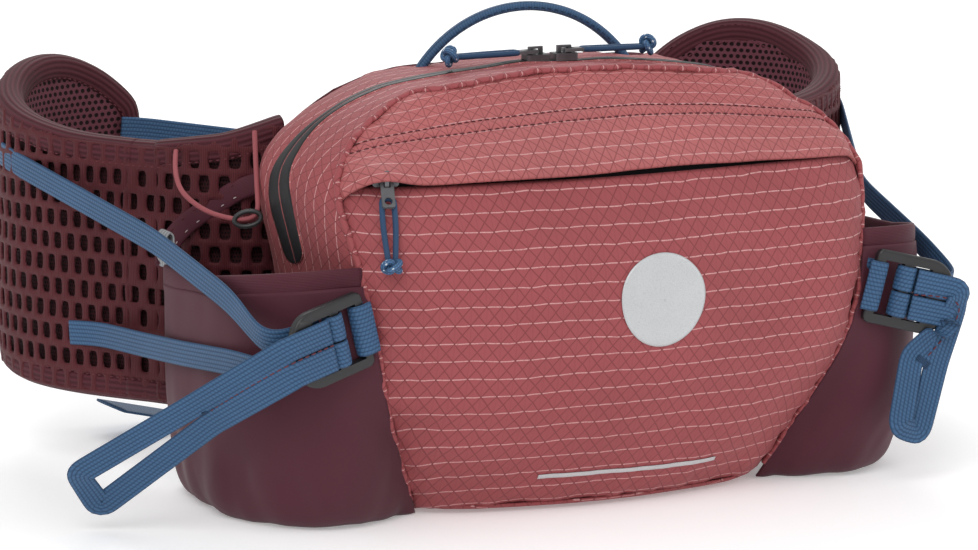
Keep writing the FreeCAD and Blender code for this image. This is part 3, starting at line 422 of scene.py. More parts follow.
def makeWearGroup():
    # edges rubbed paler, in patches
    tree, enter, leave = group("edgeWear", {"Vector": (0, 0, 0), "Amount": 0.6}, {"Mask": "NodeSocketFloat"})
    edge = add(tree, "ShaderNodeMapRange", {"Value": add(tree, "ShaderNodeNewGeometry").outputs["Pointiness"],
                                            "From Min": 0.52, "From Max": 0.6}).outputs[0]
    patch = add(tree, "ShaderNodeTexNoise", {"Vector": enter["Vector"], "Scale": 160.0, "Detail": 4.0}).outputs[0]
    mask = calc(tree, "MULTIPLY", calc(tree, "MULTIPLY", edge, patch), enter["Amount"])
    tree.links.new(mask, leave.inputs["Mask"])


for make in (makeRipstopGroup, makeWebbingGroup, makeRibGroup, makeMottleGroup, makeNetGroup, makeWearGroup):
    make()
print("waist pack: shader groups")


# materials

def newMaterial(name):
    material = bpy.data.materials.new(name)
    material.use_nodes = True
    tree = material.node_tree
    shader = tree.nodes["Principled BSDF"]
    cloth = add(tree, "ShaderNodeAttribute", attribute_name="cloth").outputs["Vector"]
    local = add(tree, "ShaderNodeTexCoord").outputs["Object"]
    return material, tree, shader, cloth, local


def wire(tree, shader, color, rough, height, depth, strength=1.0):
    # colour, roughness and relief into the shader; depth is the relief's real height in mm
    tree.links.new(color, shader.inputs["Base Color"])
    tree.links.new(rough, shader.inputs["Roughness"])
    bump = add(tree, "ShaderNodeBump", {"Height": height, "Distance": depth / 1000, "Strength": strength})
    tree.links.new(bump.outputs[0], shader.inputs["Normal"])


def toned(tree, color, tone):
    # the colour made lighter or darker by a mask around 1
    scaled = add(tree, "ShaderNodeCombineXYZ", {0: tone, 1: tone, 2: tone}).outputs[0]
    return blendColor(tree, 1.0, color, scaled, "MULTIPLY")


ripstopLook = dict(base=(0.31, 0.068, 0.074, 1), dark=(0.15, 0.025, 0.03, 1), white=(0.6, 0.31, 0.31, 1), row=7.0,
                   step=6.0, rough=0.62)


def makeRipstop(name, upright, base=None):
    look = ripstopLook
    material, tree, shader, cloth, local = newMaterial(name)
    threads = place(tree, "ripstopThreads", {"Cloth": cloth, "Row": look["row"], "Step": look["step"],
                                             "Upright": upright})
    mottle = place(tree, "mottle", {"Vector": local, "Size": 45.0, "Contrast": 0.35})
    ground = toned(tree, base or look["base"], mottle["Tone"])
    netted = blendColor(tree, calc(tree, "MULTIPLY", threads["Dark"], 0.72), ground, look["dark"])
    color = blendColor(tree, threads["White"], netted, look["white"])
    rough = calc(tree, "SUBTRACT", calc(tree, "ADD", look["rough"], calc(tree, "MULTIPLY", mottle["Speck"], 0.1)),
                 calc(tree, "MULTIPLY", threads["White"], 0.25))
    wire(tree, shader, color, rough, threads["Height"], 0.12, 0.7)
    shader.inputs["Sheen Weight"].default_value = 0.04
    shader.inputs["Specular IOR Level"].default_value = 0.28
    return material


def makeRibbed(name, base, lit, pitch, depth, rough, sheen, contrast=0.3, speck=0.25):
    # knit, tape and lining: fine ribs in two tones, the crowns in the lit colour as painted highlight and the grooves
    # in the base colour as painted shade
    material, tree, shader, cloth, local = newMaterial(name)
    ribs = place(tree, "fineRibs", {"Cloth": cloth, "Pitch": pitch, "Noise": 0.5})
    mottle = place(tree, "mottle", {"Vector": local, "Size": 30.0, "Contrast": contrast})
    color = toned(tree, blendColor(tree, ribs["Shade"], base, lit), mottle["Tone"])
    color = blendColor(tree, calc(tree, "MULTIPLY", mottle["Speck"], speck), color, lit)
    wire(tree, shader, color, calc(tree, "ADD", rough, calc(tree, "MULTIPLY", mottle["Speck"], 0.12)),
         ribs["Height"], depth)
    shader.inputs["Sheen Weight"].default_value = sheen * 0.2
    shader.inputs["Specular IOR Level"].default_value = 0.2
    return material


def makeWoven(name, low, litHigh, rib, bead, depth, rough=0.62, fleck=None):
    # webbing and braided cord: the weave's crowns in the high colour as painted highlight, its hollows in the low
    # colour as painted shade
    material, tree, shader, cloth, local = newMaterial(name)
    weave = place(tree, "webbingWeave", {"Cloth": cloth, "Rib": rib, "Bead": bead})
    mottle = place(tree, "mottle", {"Vector": local, "Size": 25.0, "Contrast": 0.3})
    color = toned(tree, blendColor(tree, weave["Shade"], low, litHigh), mottle["Tone"])
    if fleck:
        spots = add(tree, "ShaderNodeTexVoronoi", {"Vector": cloth, "Scale": 0.55}, feature="F1").outputs[0]
        mask = add(tree, "ShaderNodeMapRange", {"Value": spots, "From Min": 0.2, "From Max": 0.28, "To Min": 1.0,
                                                "To Max": 0.0}).outputs[0]
        color = blendColor(tree, mask, color, fleck)
    wire(tree, shader, color, calc(tree, "ADD", rough, calc(tree, "MULTIPLY", weave["Shade"], -0.12)),
         weave["Height"], depth)
    shader.inputs["Sheen Weight"].default_value = 0.03
    shader.inputs["Specular IOR Level"].default_value = 0.3
    return material


def makeNetted(name, yarn, shadedHole, wide, tall, size, depth):
    material, tree, shader, cloth, local = newMaterial(name)
    net = place(tree, "fineNet", {"Cloth": cloth, "Wide": wide, "Tall": tall, "Hole": size})
    mottle = place(tree, "mottle", {"Vector": local, "Size": 25.0, "Contrast": 0.4})
    # the holes are filled with a near-black colour: painted shade
    color = blendColor(tree, net["Hole"], toned(tree, yarn, mottle["Tone"]), shadedHole)
    rough = calc(tree, "ADD", 0.7, calc(tree, "MULTIPLY", net["Hole"], 0.2))
    wire(tree, shader, color, rough, net["Height"], depth)
    shader.inputs["Sheen Weight"].default_value = 0.04
    shader.inputs["Specular IOR Level"].default_value = 0.2
    return material


def makeMoulded(name, base, worn, rough, grain, metallic=0.0):
    # moulded plastic or painted metal: a fine spark grain and rubbed edges
    material, tree, shader, cloth, local = newMaterial(name)
    wear = place(tree, "edgeWear", {"Vector": local, "Amount": 0.5})
    mottle = place(tree, "mottle", {"Vector": local, "Size": 12.0, "Contrast": 0.25})
    fine = add(tree, "ShaderNodeTexNoise", {"Vector": local, "Scale": grain, "Detail": 3.0}).outputs[0]
    color = blendColor(tree, wear["Mask"], toned(tree, base, mottle["Tone"]), worn)
    spread = add(tree, "ShaderNodeMapRange", {"Value": fine, "To Min": rough - 0.08,
                                              "To Max": rough + 0.12}).outputs[0]
    wire(tree, shader, color, spread, fine, 0.05, 0.6)
    shader.inputs["Metallic"].default_value = metallic
    return material


def makeReflective(name, base, rough):
    # silver film full of tiny glass beads
    material, tree, shader, cloth, local = newMaterial(name)
    beads = add(tree, "ShaderNodeTexVoronoi", {"Vector": local, "Scale": 2200.0}).outputs[0]
    mottle = place(tree, "mottle", {"Vector": local, "Size": 10.0, "Contrast": 0.12})
    dots = add(tree, "ShaderNodeMapRange", {"Value": beads, "From Max": 0.8, "To Min": 1.06,
                                            "To Max": 0.9}).outputs[0]
    color = toned(tree, toned(tree, base, dots), mottle["Tone"])
    wire(tree, shader, color, calc(tree, "ADD", rough, calc(tree, "MULTIPLY", beads, 0.2)), beads, 0.03, 0.5)
    shader.inputs["Metallic"].default_value = 0.25
    return material


def makeFloorMaterial():
    material, tree, shader, cloth, local = newMaterial("floorPaper")
    mottle = place(tree, "mottle", {"Vector": local, "Size": 300.0, "Contrast": 0.02})
    wire(tree, shader, toned(tree, studio["floor"] + (1,), mottle["Tone"]),
         calc(tree, "ADD", 0.8, calc(tree, "MULTIPLY", mottle["Speck"], 0.05)), mottle["Speck"], 0.01, 0.2)
    shader.inputs["Emission Color"].default_value = (1, 1, 1, 1)
    shader.inputs["Emission Strength"].default_value = 0.24
    return material


looks = dict(
    ripstop=makeRipstop("ripstopFront", 0.25),
    # the flap's copy: denser upright threads of the fabric's own pattern, on a lighter base that is painted highlight
    ripstopLitGrid=makeRipstop("ripstopUpperLit", 0.75, (0.4, 0.11, 0.11, 1)),
    knit=makeRibbed("stretchKnit", (0.05, 0.0095, 0.018, 1), (0.078, 0.018, 0.03, 1), 0.55, 0.035, 0.62, 0.35, 0.2),
    hem=makeRibbed("pocketHem", (0.062, 0.012, 0.022, 1), (0.09, 0.021, 0.034, 1), 0.6, 0.04, 0.62, 0.3, 0.2),
    binding=makeRibbed("foldedBinding", (0.045, 0.007, 0.0115, 1), (0.088, 0.019, 0.027, 1), 2.3, 0.28, 0.7, 0.25),
    yarn=makeRibbed("spacerYarn", (0.062, 0.0085, 0.012, 1), (0.1, 0.019, 0.024, 1), 0.7, 0.1, 0.62, 0.2),
    # each netting's second colour is the near-black painted shade in its holes
    backing=makeNetted("spacerBacking", (0.04, 0.0075, 0.0105, 1), (0.006, 0.001, 0.002, 1), 1.1, 1.6, 0.22, 0.3),
    net=makeNetted("fineNetting", (0.13, 0.036, 0.052, 1), (0.01, 0.002, 0.003, 1), 3.4, 2.7, 0.27, 0.5),
    webbing=makeWoven("blueWebbing", (0.017, 0.052, 0.115, 1), (0.044, 0.112, 0.225, 1), 1.6, 1.5, 0.2),
    handleWeave=makeWoven("handleWeave", (0.014, 0.042, 0.095, 1), (0.04, 0.1, 0.2, 1), 1.3, 1.2, 0.16),
    cord=makeWoven("fleckedCord", (0.02, 0.055, 0.12, 1), (0.07, 0.16, 0.31, 1), 0.9, 0.8, 0.1,
                   fleck=(0.62, 0.68, 0.74, 1)),
    elastic=makeWoven("roseElastic", (0.3, 0.075, 0.085, 1), (0.5, 0.16, 0.17, 1), 0.55, 0.7, 0.05),
    zipper=makeRibbed("coatedZipper", (0.009, 0.009, 0.01, 1), (0.02, 0.02, 0.022, 1), 1.2, 0.02, 0.42, 0.0),
    plastic=makeMoulded("blackMoulding", (0.016, 0.016, 0.018, 1), (0.12, 0.12, 0.125, 1), 0.36, 1500.0),
    slider=makeMoulded("darkMetal", (0.05, 0.05, 0.055, 1), (0.4, 0.4, 0.42, 1), 0.32, 2500.0, 0.7),
    greyTab=makeMoulded("greyMoulding", (0.04, 0.042, 0.047, 1), (0.2, 0.2, 0.21, 1), 0.42, 1800.0),
    silver=makeReflective("silverFilm", (0.55, 0.56, 0.57, 1), 0.34),
    greyTape=makeRibbed("greyTape", (0.2, 0.21, 0.225, 1), (0.42, 0.43, 0.44, 1), 2.6, 0.05, 0.5, 0.1),
    thread=makeRibbed("sewingThread", (0.1, 0.02, 0.028, 1), (0.19, 0.05, 0.06, 1), 0.5, 0.05, 0.55, 0.1),
    paleThread=makeRibbed("paleThread", (0.6, 0.5, 0.5, 1), (0.8, 0.72, 0.72, 1), 0.5, 0.05, 0.5, 0.1),
    blueThread=makeRibbed("blueThread", (0.01, 0.025, 0.055, 1), (0.03, 0.07, 0.14, 1), 0.5, 0.05, 0.5, 0.1),
    floor=makeFloorMaterial(),
)
print("waist pack: materials")


# floor

def makeFloor():
    across = np.linspace(-9000, 9000, 13)
    p = np.array([[(x, y, -0.8) for x in across] for y in across])
    floor = makeMesh("floorPaper", p, gridFaces(*p.shape[:2]), clothOf(p), looks["floor"])


makeFloor()


# cords: each follows its CAD route, a hairpin through a pull's eye or an elastic between two seams

def knot(name, centre, along, size, material, body):
    # a small overhand knot: a trefoil of the same cord pulled tight
    along = unit(along)
    side = unit(np.cross(along, (0.3, 0.9, 0.2)))
    other = np.cross(along, side)
    path = []
    for a in np.linspace(0, 2 * math.pi, 73)[:-1]:
        r = 2 + math.cos(3 * a)
        path.append(np.array(centre) + size * (side * r * math.cos(2 * a) + other * r * math.sin(2 * a)
                                               + along * 1.5 * math.sin(3 * a)))
    path = np.array(path + path[:1])
    normals = np.tile(other, (len(path), 1)) + 0.3 * along
    piece = sweep(name, path, normals, oval(size * 2.1, size * 2.1, 10, 2), material, capped=False)
    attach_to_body(piece, body)
    return piece


def cord(name, node, body, route, diameter, exitPoint, material):
    curve = bpy.data.curves.new(name, "CURVE")
    curve.dimensions = "3D"
    run = curve.splines.new("NURBS")
    run.points.add(len(route) - 1)
    for point, (x, y, z) in zip(run.points, route):
        point.co = (x / 1000, y / 1000, z / 1000, 1)
    run.order_u = 3
    run.use_endpoint_u = True
    run.resolution_u = 16
    curve.bevel_depth = diameter / 2000
    curve.bevel_resolution = 4
    curve.use_fill_caps = True
    curve.materials.append(material)
    piece = bpy.data.objects.new(name, curve)
    bpy.context.scene.collection.objects.link(piece)
    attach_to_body(piece, body)
    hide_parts(node)
    tuple(c / 1000 for c in exitPoint)
    return piece


cords = dict(
    size=2.2, knotSize=1.15, elasticSize=2.0,
    left=[(-42.7, 13.68, 171.94), (-29.7, 12.6, 172.11), (-17.67, 12.6, 172.26), (-14.31, 12.84, 172.31),
          (-14.31, 17.16, 172.31), (-17.67, 17.4, 172.26), (-29.7, 17.4, 172.11), (-42.7, 16.32, 171.94)],
    front=[(-99.06, -57.9, 106.16), (-96.87, -53.86, 116.2), (-95.83, -49.91, 125.38), (-95.71, -48.52, 128.45),
           (-99.88, -47.42, 128.45), (-100.47, -48.68, 125.38), (-101.51, -52.63, 116.2),
           (-101.61, -57.23, 106.16)],
    elastic=[(-139, 66, 134), (-146, 52, 124), (-141, 36, 115), (-131, 22, 112), (-123, 19, 113.5),
             (-121.2, 25, 124), (-118.5, 33, 135), (-115.6, 41, 143.5)])


def mirrored(points):
    return [(-x, y, z) for x, y, z in points]


def makeCords():
    for side, route in (("left", cords["left"]), ("right", mirrored(cords["left"]))):
        turn = 1 if side == "right" else -1
        body = f"main_puller_{side}"
        end = (turn * 43.5, 15, 172.4)
        tie = knot(f"zipKnot_{side}", end, (turn, 0, -0.05), cords["knotSize"], looks["cord"], body)
        cord(f"zipCord_{side}", f"zip_cord_{side}", body, route, cords["size"], (turn * 15, 15, 172.3),
             looks["cord"])
    tie = knot("frontKnot", (-100.5, -58.5, 104.4), (0.05, 0.25, 1), cords["knotSize"], looks["cord"],
               "front_puller")
    cord("frontCord", "front_cord", "front_puller", cords["front"], cords["size"], (-97.8, -48, 128.4),
         looks["cord"])
    for side, route in (("left", cords["elastic"]), ("right", mirrored(cords["elastic"]))):
        cord(f"elastic_{side}", f"bungee_{side}", "pack", route, cords["elasticSize"], route[0],
             looks["elastic"])


makeCords()
print("waist pack: cords")


# the bag's form: rounded outlines at each height, under a wide dome

bag = dict(halfWidth=112, height=168, front=75, back=42, bulge=7, dome=485, flap=132, cornerIn=0.26,
           cornerDown=0.15,
           rows=[(0.00, 0.67, 0.27, 0.53), (0.09, 0.73, 0.36, 0.66), (0.24, 0.83, 0.52, 0.86), (0.43, 0.92, 0.66, 0.97),
                 (0.60, 0.965, 0.61, 0.96), (0.73, 1.00, 0.50, 0.84), (0.86, 0.95, 0.31, 0.58),
                 (0.95, 0.85, 0.17, 0.28), (1.06, 0.76, 0.02, 0.06)])
parts = dict(front=(6, 10, 161), left=(6, 3, 61), right=(10, 13, 61))


def domeTop(x):
    return bag["height"] - bag["dome"] + np.sqrt(bag["dome"] ** 2 - np.square(x))


def makeTables():
    # the bag's outline at each whole mm of height, split at its seams
    scale = np.array([bag["height"], bag["halfWidth"], bag["front"], bag["front"]])
    at, knots = spline(np.array(bag["rows"]) * scale)
    rows = at(np.linspace(0, knots[-1], 900))
    tables = {name: [] for name in ("front", "left", "right", "back")}
    for z in range(0, 179):
        half, seam, centre = (np.interp(z, rows[:, 0], rows[:, k]) for k in (1, 2, 3))
        back = bag["back"]
        side = half + bag["bulge"]
        right = [(0.5 * half, -centre + 0.2 * (centre - seam)), (half, -seam), (side, (back - seam) / 2),
                 (side, back - 14), (side - 8, back), (0.6 * half, back), (0.3 * half, back)]
        loop = [(0, back)] + [(-x, y) for x, y in reversed(right)] + [(0, -centre)] + right
        ring, places = spline(loop, closed=True)
        for name, (a, b, count) in parts.items():
            tables[name].append(ring(np.linspace(places[a], places[b], count)))
        start, end = places[3] + places[-1], places[13]
        tables["back"].append(ring(np.linspace(start, end, 61) % places[-1]))
    return {name: np.array(rings) for name, rings in tables.items()}


tables = makeTables()


def bilinear(table, row, col):
    row = np.clip(row, 0, table.shape[0] - 1.001)
    col = np.clip(col, 0, table.shape[1] - 1.001)
    r, c = row.astype(int), col.astype(int)
    fr, fc = (row - r)[..., None], (col - c)[..., None]
    return ((table[r, c] * (1 - fc) + table[r, c + 1] * fc) * (1 - fr)
            + (table[r + 1, c] * (1 - fc) + table[r + 1, c + 1] * fc) * fr)


def bagSurface(part, share, level, low=0.0):
    # a point of the bag's skin: share runs along the part, level from height low to the top edge
    share, level, low = np.broadcast_arrays(np.asarray(share, float), np.asarray(level, float), low)
    table = tables[part]
    col = share * (table.shape[1] - 1)
    x = bilinear(table, np.full(col.shape, 150.0), col)[..., 0]
    for step in range(6):
        top = domeTop(x)
        z = low + level * (top - low)
        flat = bilinear(table, z, col)
        turn = np.clip((z / top - 1 + bag["cornerDown"]) / bag["cornerDown"], 0, 1)
        x = flat[..., 0] * (1 - bag["cornerIn"] * (1 - np.sqrt(1 - turn ** 2)))
    return np.stack([x, flat[..., 1], z], -1)


def onGrid(grid, row, col, lift=0.0):
    # a point on a finished sheet, lifted off it
    normals = gridNormals(grid)
    row, col = np.broadcast_arrays(np.asarray(row, float), np.asarray(col, float))
    return bilinear(grid, row, col) + unit(bilinear(normals, row, col)) * lift


def pushed(grid, amount):
    return grid + gridNormals(grid) * amount[..., None]


def evenShares(count, gather=0.35):
    # shares from 0 to 1, closer together at both ends
    t = np.linspace(0, 1, count)
    return (1 - gather) * t + gather * (1 - np.cos(math.pi * t)) / 2


frontLook = dict(columns=190, rows=110, top=132.8, broad=1.7, pucker=1.9, reach=9)


def makeFront():
    look = frontLook
    share = evenShares(look["columns"])[None, :]
    z = np.linspace(0, look["top"], look["rows"])[:, None]
    guess = bagSurface("front", share, z / 168)
    for step in range(5):
        guess = bagSurface("front", share, z / domeTop(guess[..., 0]))
    across = distances(guess, 1)
    seam = np.minimum(across, across[:, -1:] - across)
    low = np.exp(-guess[..., 2] / 12)
    relief = look["broad"] * bumpy(guess, (60, 60, 34), 1) * ease(seam / 30)
    relief += look["pucker"] * np.exp(-seam / look["reach"]) * bumpy(guess, (45, 45, 7), 2)
    relief += 1.3 * low * bumpy(guess, (9, 30, 30), 3)
    corner = np.exp(-((guess[..., 0] + 86) / 26) ** 2 - ((guess[..., 2] - 22) / 24) ** 2)
    relief += 1.6 * corner * bumpy(guess + guess[..., [2]] * np.array([0.6, 0, 0]), (40, 40, 9), 4)
    tuck = ease((guess[..., 2] - 112) / 16)
    relief = relief * (1 - 0.85 * tuck) - 1.2 * tuck
    relief -= 3.0 * np.exp(-guess[..., 2] / 4)
    grid = pushed(guess, relief)
    grid[..., 2] = np.maximum(grid[..., 2], 0.4)
    dip = 4 * np.exp(-across / 12) * ease((70 - guess[..., 2]) / 60)
    cloth = clothOf(grid, across - across[:, -1:] / 2, guess[..., 2] + dip + 0.5 * bumpy(guess, 26, 5))
    piece = sheet("frontPocket", grid, cloth, looks["ripstop"], 1.0)
    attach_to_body(piece, "pack")
    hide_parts("front_panel")
    return grid


flapLook = dict(columns=190, rows=56, lift=2.2, fold=12, overSlider=5.6, pucker=1.3, stitchRows=(0.50, 0.60))


def makeFlap():
    look = flapLook
    share = evenShares(look["columns"])[None, :]
    ends = np.exp(-np.minimum(share, 1 - share) * 236 / 9)
    low = bag["flap"] - 5.5 * ends + 1.7 * np.exp(-((share - 0.6) / 0.2) ** 2)
    level = np.linspace(0, 1, look["rows"])[:, None] ** 0.92
    guess = bagSurface("front", share, level, low)
    across = distances(guess, 1)
    seam = np.minimum(across, across[:, -1:] - across)
    up = distances(guess, 0)
    down = up[-1:] - up
    relief = look["lift"] * np.exp(-(up / look["fold"]) ** 2) * ease(seam / 14)
    relief += 0.9 * bumpy(guess, (48, 40, 22), 11) * ease(seam / 26) * ease(down / 12)
    relief += look["pucker"] * np.exp(-seam / 7) * bumpy(guess, (40, 40, 7), 12)
    relief += look["pucker"] * 0.8 * np.exp(-down / 7) * bumpy(guess, (9, 40, 40), 13)
    middle = sum(look["stitchRows"]) / 2 * (look["rows"] - 1)
    rows = np.arange(look["rows"])[:, None]
    for row in look["stitchRows"]:
        relief -= 0.45 * np.exp(-((rows - row * (look["rows"] - 1)) / 0.9) ** 2)
    relief += 0.5 * np.exp(-((rows - middle) / 1.6) ** 2)
    relief += 0.6 * bumpy(guess, (30, 30, 60), 14) * np.exp(-up / 8)
    relief += look["overSlider"] * np.exp(-((guess[..., 0] + 97) / 9) ** 2 - (up / 10) ** 2)
    grid = pushed(guess, relief)
    rise = np.mean(up, axis=1, keepdims=True) + 0.4 * bumpy(guess, 20, 15)
    cloth = clothOf(grid, across - across[:, -1:] / 2, rise)
    # the flap's lighter cloth: partly its own thread pattern, partly painted highlight
    piece = sheet("flap", grid, cloth, looks["ripstopLitGrid"], 1.3)
    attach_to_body(piece, "pack")
    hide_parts("flap_panel")
    return grid


gussetLook = dict(sideRows=90, topRows=120, columns=44, bulge=1.2, pucker=1.1)


def zipLine(z):
    # how far back the main zipper lies at height z on the bag's side
    return 15 - 16 * np.clip((162 - z) / 70, 0, 1)


def makeGusset():
    look = gussetLook
    t = np.linspace(0, 1, look["columns"])[None, :]
    level = np.linspace(0, 1, look["sideRows"])[:, None] ** 0.85
    left = bagSurface("left", t, level)
    right = bagSurface("right", t, level)[::-1]
    s = np.linspace(0, 1, look["topRows"])[:, None]
    fore = bagSurface("front", s, 1.0)
    rear = bagSurface("back", s, 1.0)
    ends = [left[-1][None], right[0][None]]
    u, w = s[..., None], t[..., None]
    top = (1 - w) * fore + w * rear + (1 - u) * ends[0] + u * ends[1]
    top -= ((1 - u) * (1 - w) * fore[:1] + u * (1 - w) * fore[-1:] + (1 - u) * w * rear[:1] + u * w * rear[-1:])
    top[..., 2] = domeTop(top[..., 0])
    grid = np.concatenate([left, top[1:-1], right])
    for step in range(10):                                          # soften where the sides turn into the top
        soft = grid.copy()
        soft[1:-1] = (grid[:-2] + 2 * grid[1:-1] + grid[2:]) / 4
        grid = grid + (soft - grid) * ease(t * 6)[..., None]
    grid = grid[:, ::-1]                                            # from the back to the front, facing out
    across, along = distances(grid, 1), distances(grid, 0)
    seam = np.minimum(across, across[:, -1:] - across)
    relief = look["bulge"] * bumpy(grid, (38, 30, 38), 21) * ease(seam / 12)
    relief += look["pucker"] * np.exp(-seam / 6) * bumpy(grid, (8, 40, 8), 22)
    relief -= 2.5 * np.exp(-grid[..., 2] / 4)
    grid = pushed(grid, relief)
    grid[..., 2] = np.maximum(grid[..., 2], 0.4)
    cloth = clothOf(grid, along[:, :1] * 0 + along, across)
    piece = sheet("gusset", grid, cloth, looks["ripstop"], 1.0)
    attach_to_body(piece, "pack")
    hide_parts("gusset")
    return grid


frontGrid = makeFront()
flapGrid = makeFlap()
gussetGrid = makeGusset()
print("waist pack: front, flap and gusset")


# seams, stitching and zippers on the bag

def attach(piece, body):
    # ride on a body, or, across the belt's fold, stay in place with the transform baked in
    if body.startswith("fold_"):
        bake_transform(piece)
    else:
        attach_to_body(piece, body)


def stitches(name, path, normals, body, material, long=2.1, gap=1.0, size=0.26):
    # a row of sewn stitches: short rounded dashes half sunk along a path
    path = np.asarray(path, float)
    both = resample(np.hstack([path, unit(np.broadcast_to(normals, path.shape))]), 0.5)
    pitch = int(round((long + gap) / 0.5))
    points, faces, cloth = [], [], []
    rings = [(-1, 0.35), (-0.75, 0.85), (0, 1.0), (0.75, 0.85), (1, 0.35)]
    for start in range(0, len(both) - pitch, pitch):
        a, b = both[start], both[start + int(long / 0.5)]
        run, out = b[:3] - a[:3], unit(a[3:] + b[3:])
        side = unit(np.cross(run, out))
        first = len(points)
        for part, wide in rings:
            centre = (a[:3] + b[:3]) / 2 + run * part / 2 + out * size * (0.9 - 0.9 * part ** 2)
            for n in range(6):
                turn = 2 * math.pi * n / 6
                points.append(centre + (side * math.cos(turn) + out * math.sin(turn)) * size * wide)
                cloth.append((part, n / 6, turn))
        faces += gridFaces(len(rings), 6, True, first)
        faces += [tuple(first + n for n in range(6)), tuple(first + 24 + n for n in reversed(range(6)))]
    piece = makeMesh(name, points, faces, cloth, material)
    facedOut(piece)
    attach(piece, body)
    return piece


def ridgeLine():
    # the seam between the front and the gusset: up one side, over the top and down the other
    level = np.linspace(0.02, 1, 120) ** 0.85
    left = bagSurface("left", 0.0, level)
    top = bagSurface("front", np.linspace(0, 1, 160), 1.0)[1:-1]
    return resample(np.concatenate([left, top, bagSurface("right", 0.0, level)[::-1]]), 1.2)


def makeSeams():
    # a ruffled ridge where the front and the gusset are sewn together, and the flap's stitching
    path = ridgeLine()
    outward = unit(path - np.array([0, 20, 70]))
    path = path + outward * (0.3 + 0.9 * bumpy(path, (7, 7, 7), 31)[:, None])
    path += 0.7 * bumpy(path, (9, 9, 9), 32)[:, None] * np.array([0, 1, 0])
    piece = sweep("frontSeam", path, outward, oval(3.0, 2.2, 12, 2.2), looks["ripstop"])
    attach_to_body(piece, "pack")
    count = flapLook["columns"]
    for n, row in enumerate(flapLook["stitchRows"]):
        col = np.linspace(2, count - 3, 500)
        at = onGrid(flapGrid, row * (flapLook["rows"] - 1), col, 0.15)
        out = onGrid(flapGrid, row * (flapLook["rows"] - 1), col, 1.15) - at
        stitches(f"flapStitches_{n}", at, out, "pack", looks["thread"])


def gussetColumn(depth):
    # for each row of the gusset, the column that lies at that depth
    cols = np.arange(gussetGrid.shape[1])
    return np.array([np.interp(-d, -row[:, 1], cols) for d, row in zip(depth, gussetGrid)])


zipLook = dict(foot=97, widest=9.0, narrowest=3.0, edge=0.9, lift=0.7)


def makeMainZip():
    # coated zipper over the top and down both sides, its rounded ends set in a pale folded edge of the flap's cloth,
    # its paleness painted highlight
    look = zipLook
    middle = gussetColumn(zipLine(gussetGrid[:, gussetGrid.shape[1] // 2, 2]))
    rows = np.arange(len(gussetGrid))
    trace = onGrid(gussetGrid, rows, middle)
    fine = np.linspace(0, len(rows) - 1, 700)
    trace = np.stack([np.interp(fine, rows, trace[:, k]) for k in range(3)], 1)
    keep = (trace[:, 2] > look["foot"])
    fine, trace = fine[keep], trace[keep]
    along = distances(trace[:, None], 0)[:, 0]
    end = np.minimum(along, along[-1] - along)
    wide = look["narrowest"] + (look["widest"] - look["narrowest"]) * (1 - ease((end - 22) / 45))
    wide = wide * np.sqrt(np.clip(1 - (1 - np.clip(end / 6.0, 0, 1)) ** 2, 0, 1)) + 0.05
    run = unit(np.gradient(trace, axis=0))
    col = np.interp(fine, rows, middle)
    normal = unit(onGrid(gussetGrid, fine, col, 1.0) - onGrid(gussetGrid, fine, col))
    side = np.cross(run, normal)
    layers = (("zipEdge", look["edge"], look["lift"] - 0.25, looks["ripstopLitGrid"], None),
              ("zipTape", 0.0, look["lift"], looks["zipper"], "main_zip_tape"))
    for name, extra, lift, material, node in layers:
        t = np.linspace(-1, 1, 15)[None, :, None]
        half = (wide + extra)[:, None, None]
        grid = trace[:, None] + side[:, None] * t * half + normal[:, None] * (lift - 0.25 * t ** 4)
        if node:
            grid = grid - normal[:, None] * 0.35 * np.exp(-(t * half / 0.45) ** 2)
        piece = sheet(name, grid, clothOf(grid, (t * half)[..., 0], along[:, None]), material, 0.5)
        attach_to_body(piece, "pack")
        if node:
            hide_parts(node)


def makeFrontZip():
    # the hidden zipper's tape, sunk behind the flap's edge
    share = np.linspace(0, 1, 80)[None, :]
    z = np.linspace(129, 144, 12)[:, None]
    grid = bagSurface("front", share, z / 168)
    for step in range(5):
        grid = bagSurface("front", share, z / domeTop(grid[..., 0]))
    grid = pushed(grid, np.full(grid.shape[:2], -2.7))
    piece = sheet("frontZipTape", grid, clothOf(grid), looks["zipper"], 0.6)
    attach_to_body(piece, "pack")
    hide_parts("front_zip_tape")


markLook = dict(x=6, z=86, radius=18, lift=0.45, barFrom=-34, barTo=44, barZ=15, barTall=1.7)


def onFront(x, z, lift):
    # points on the front sheet at x and z
    row = np.asarray(z, float) / frontLook["top"] * (frontLook["rows"] - 1)
    cols = np.linspace(0, frontLook["columns"] - 1, 400)
    xs = bilinear(frontGrid, np.full(400, float(np.mean(row))), cols)[:, 0]
    col = np.interp(x, xs, cols)
    return onGrid(frontGrid, row, col, lift)


def makeReflectiveMarks():
    # a plain round reflective patch and a short bar by the bottom seam
    look = markLook
    ring = np.linspace(0, 1, 22)[:, None]
    turn = np.linspace(0, 2 * math.pi, 97)[None, :-1]
    x = look["x"] + look["radius"] * ring * np.cos(turn)
    z = look["z"] + look["radius"] * ring * np.sin(turn)
    grid = np.array([onFront(a, b, look["lift"] * (1 - 0.6 * r[0] ** 12)) for a, b, r in zip(x, z, ring)])
    piece = makeMesh("reflectivePatch", grid, gridFaces(*grid.shape[:2], True), clothOf(grid), looks["silver"])
    piece.modifiers.new("thickness", "SOLIDIFY").thickness = 0.0003
    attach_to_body(piece, "pack")
    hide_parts("reflective_mark")
    x = np.linspace(look["barFrom"], look["barTo"], 90)
    heights = look["barZ"] + np.linspace(-1, 1, 5) * look["barTall"] / 2
    grid = np.array([onFront(x, np.full(90, z), look["lift"]) for z in heights])
    piece = sheet("reflectiveBar", grid, clothOf(grid), looks["silver"], 0.3)
    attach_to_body(piece, "pack")
    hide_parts("reflective_bar")


makeSeams()
makeMainZip()
makeFrontZip()
makeReflectiveMarks()
print("waist pack: seams, zippers and marks")


# underside and back

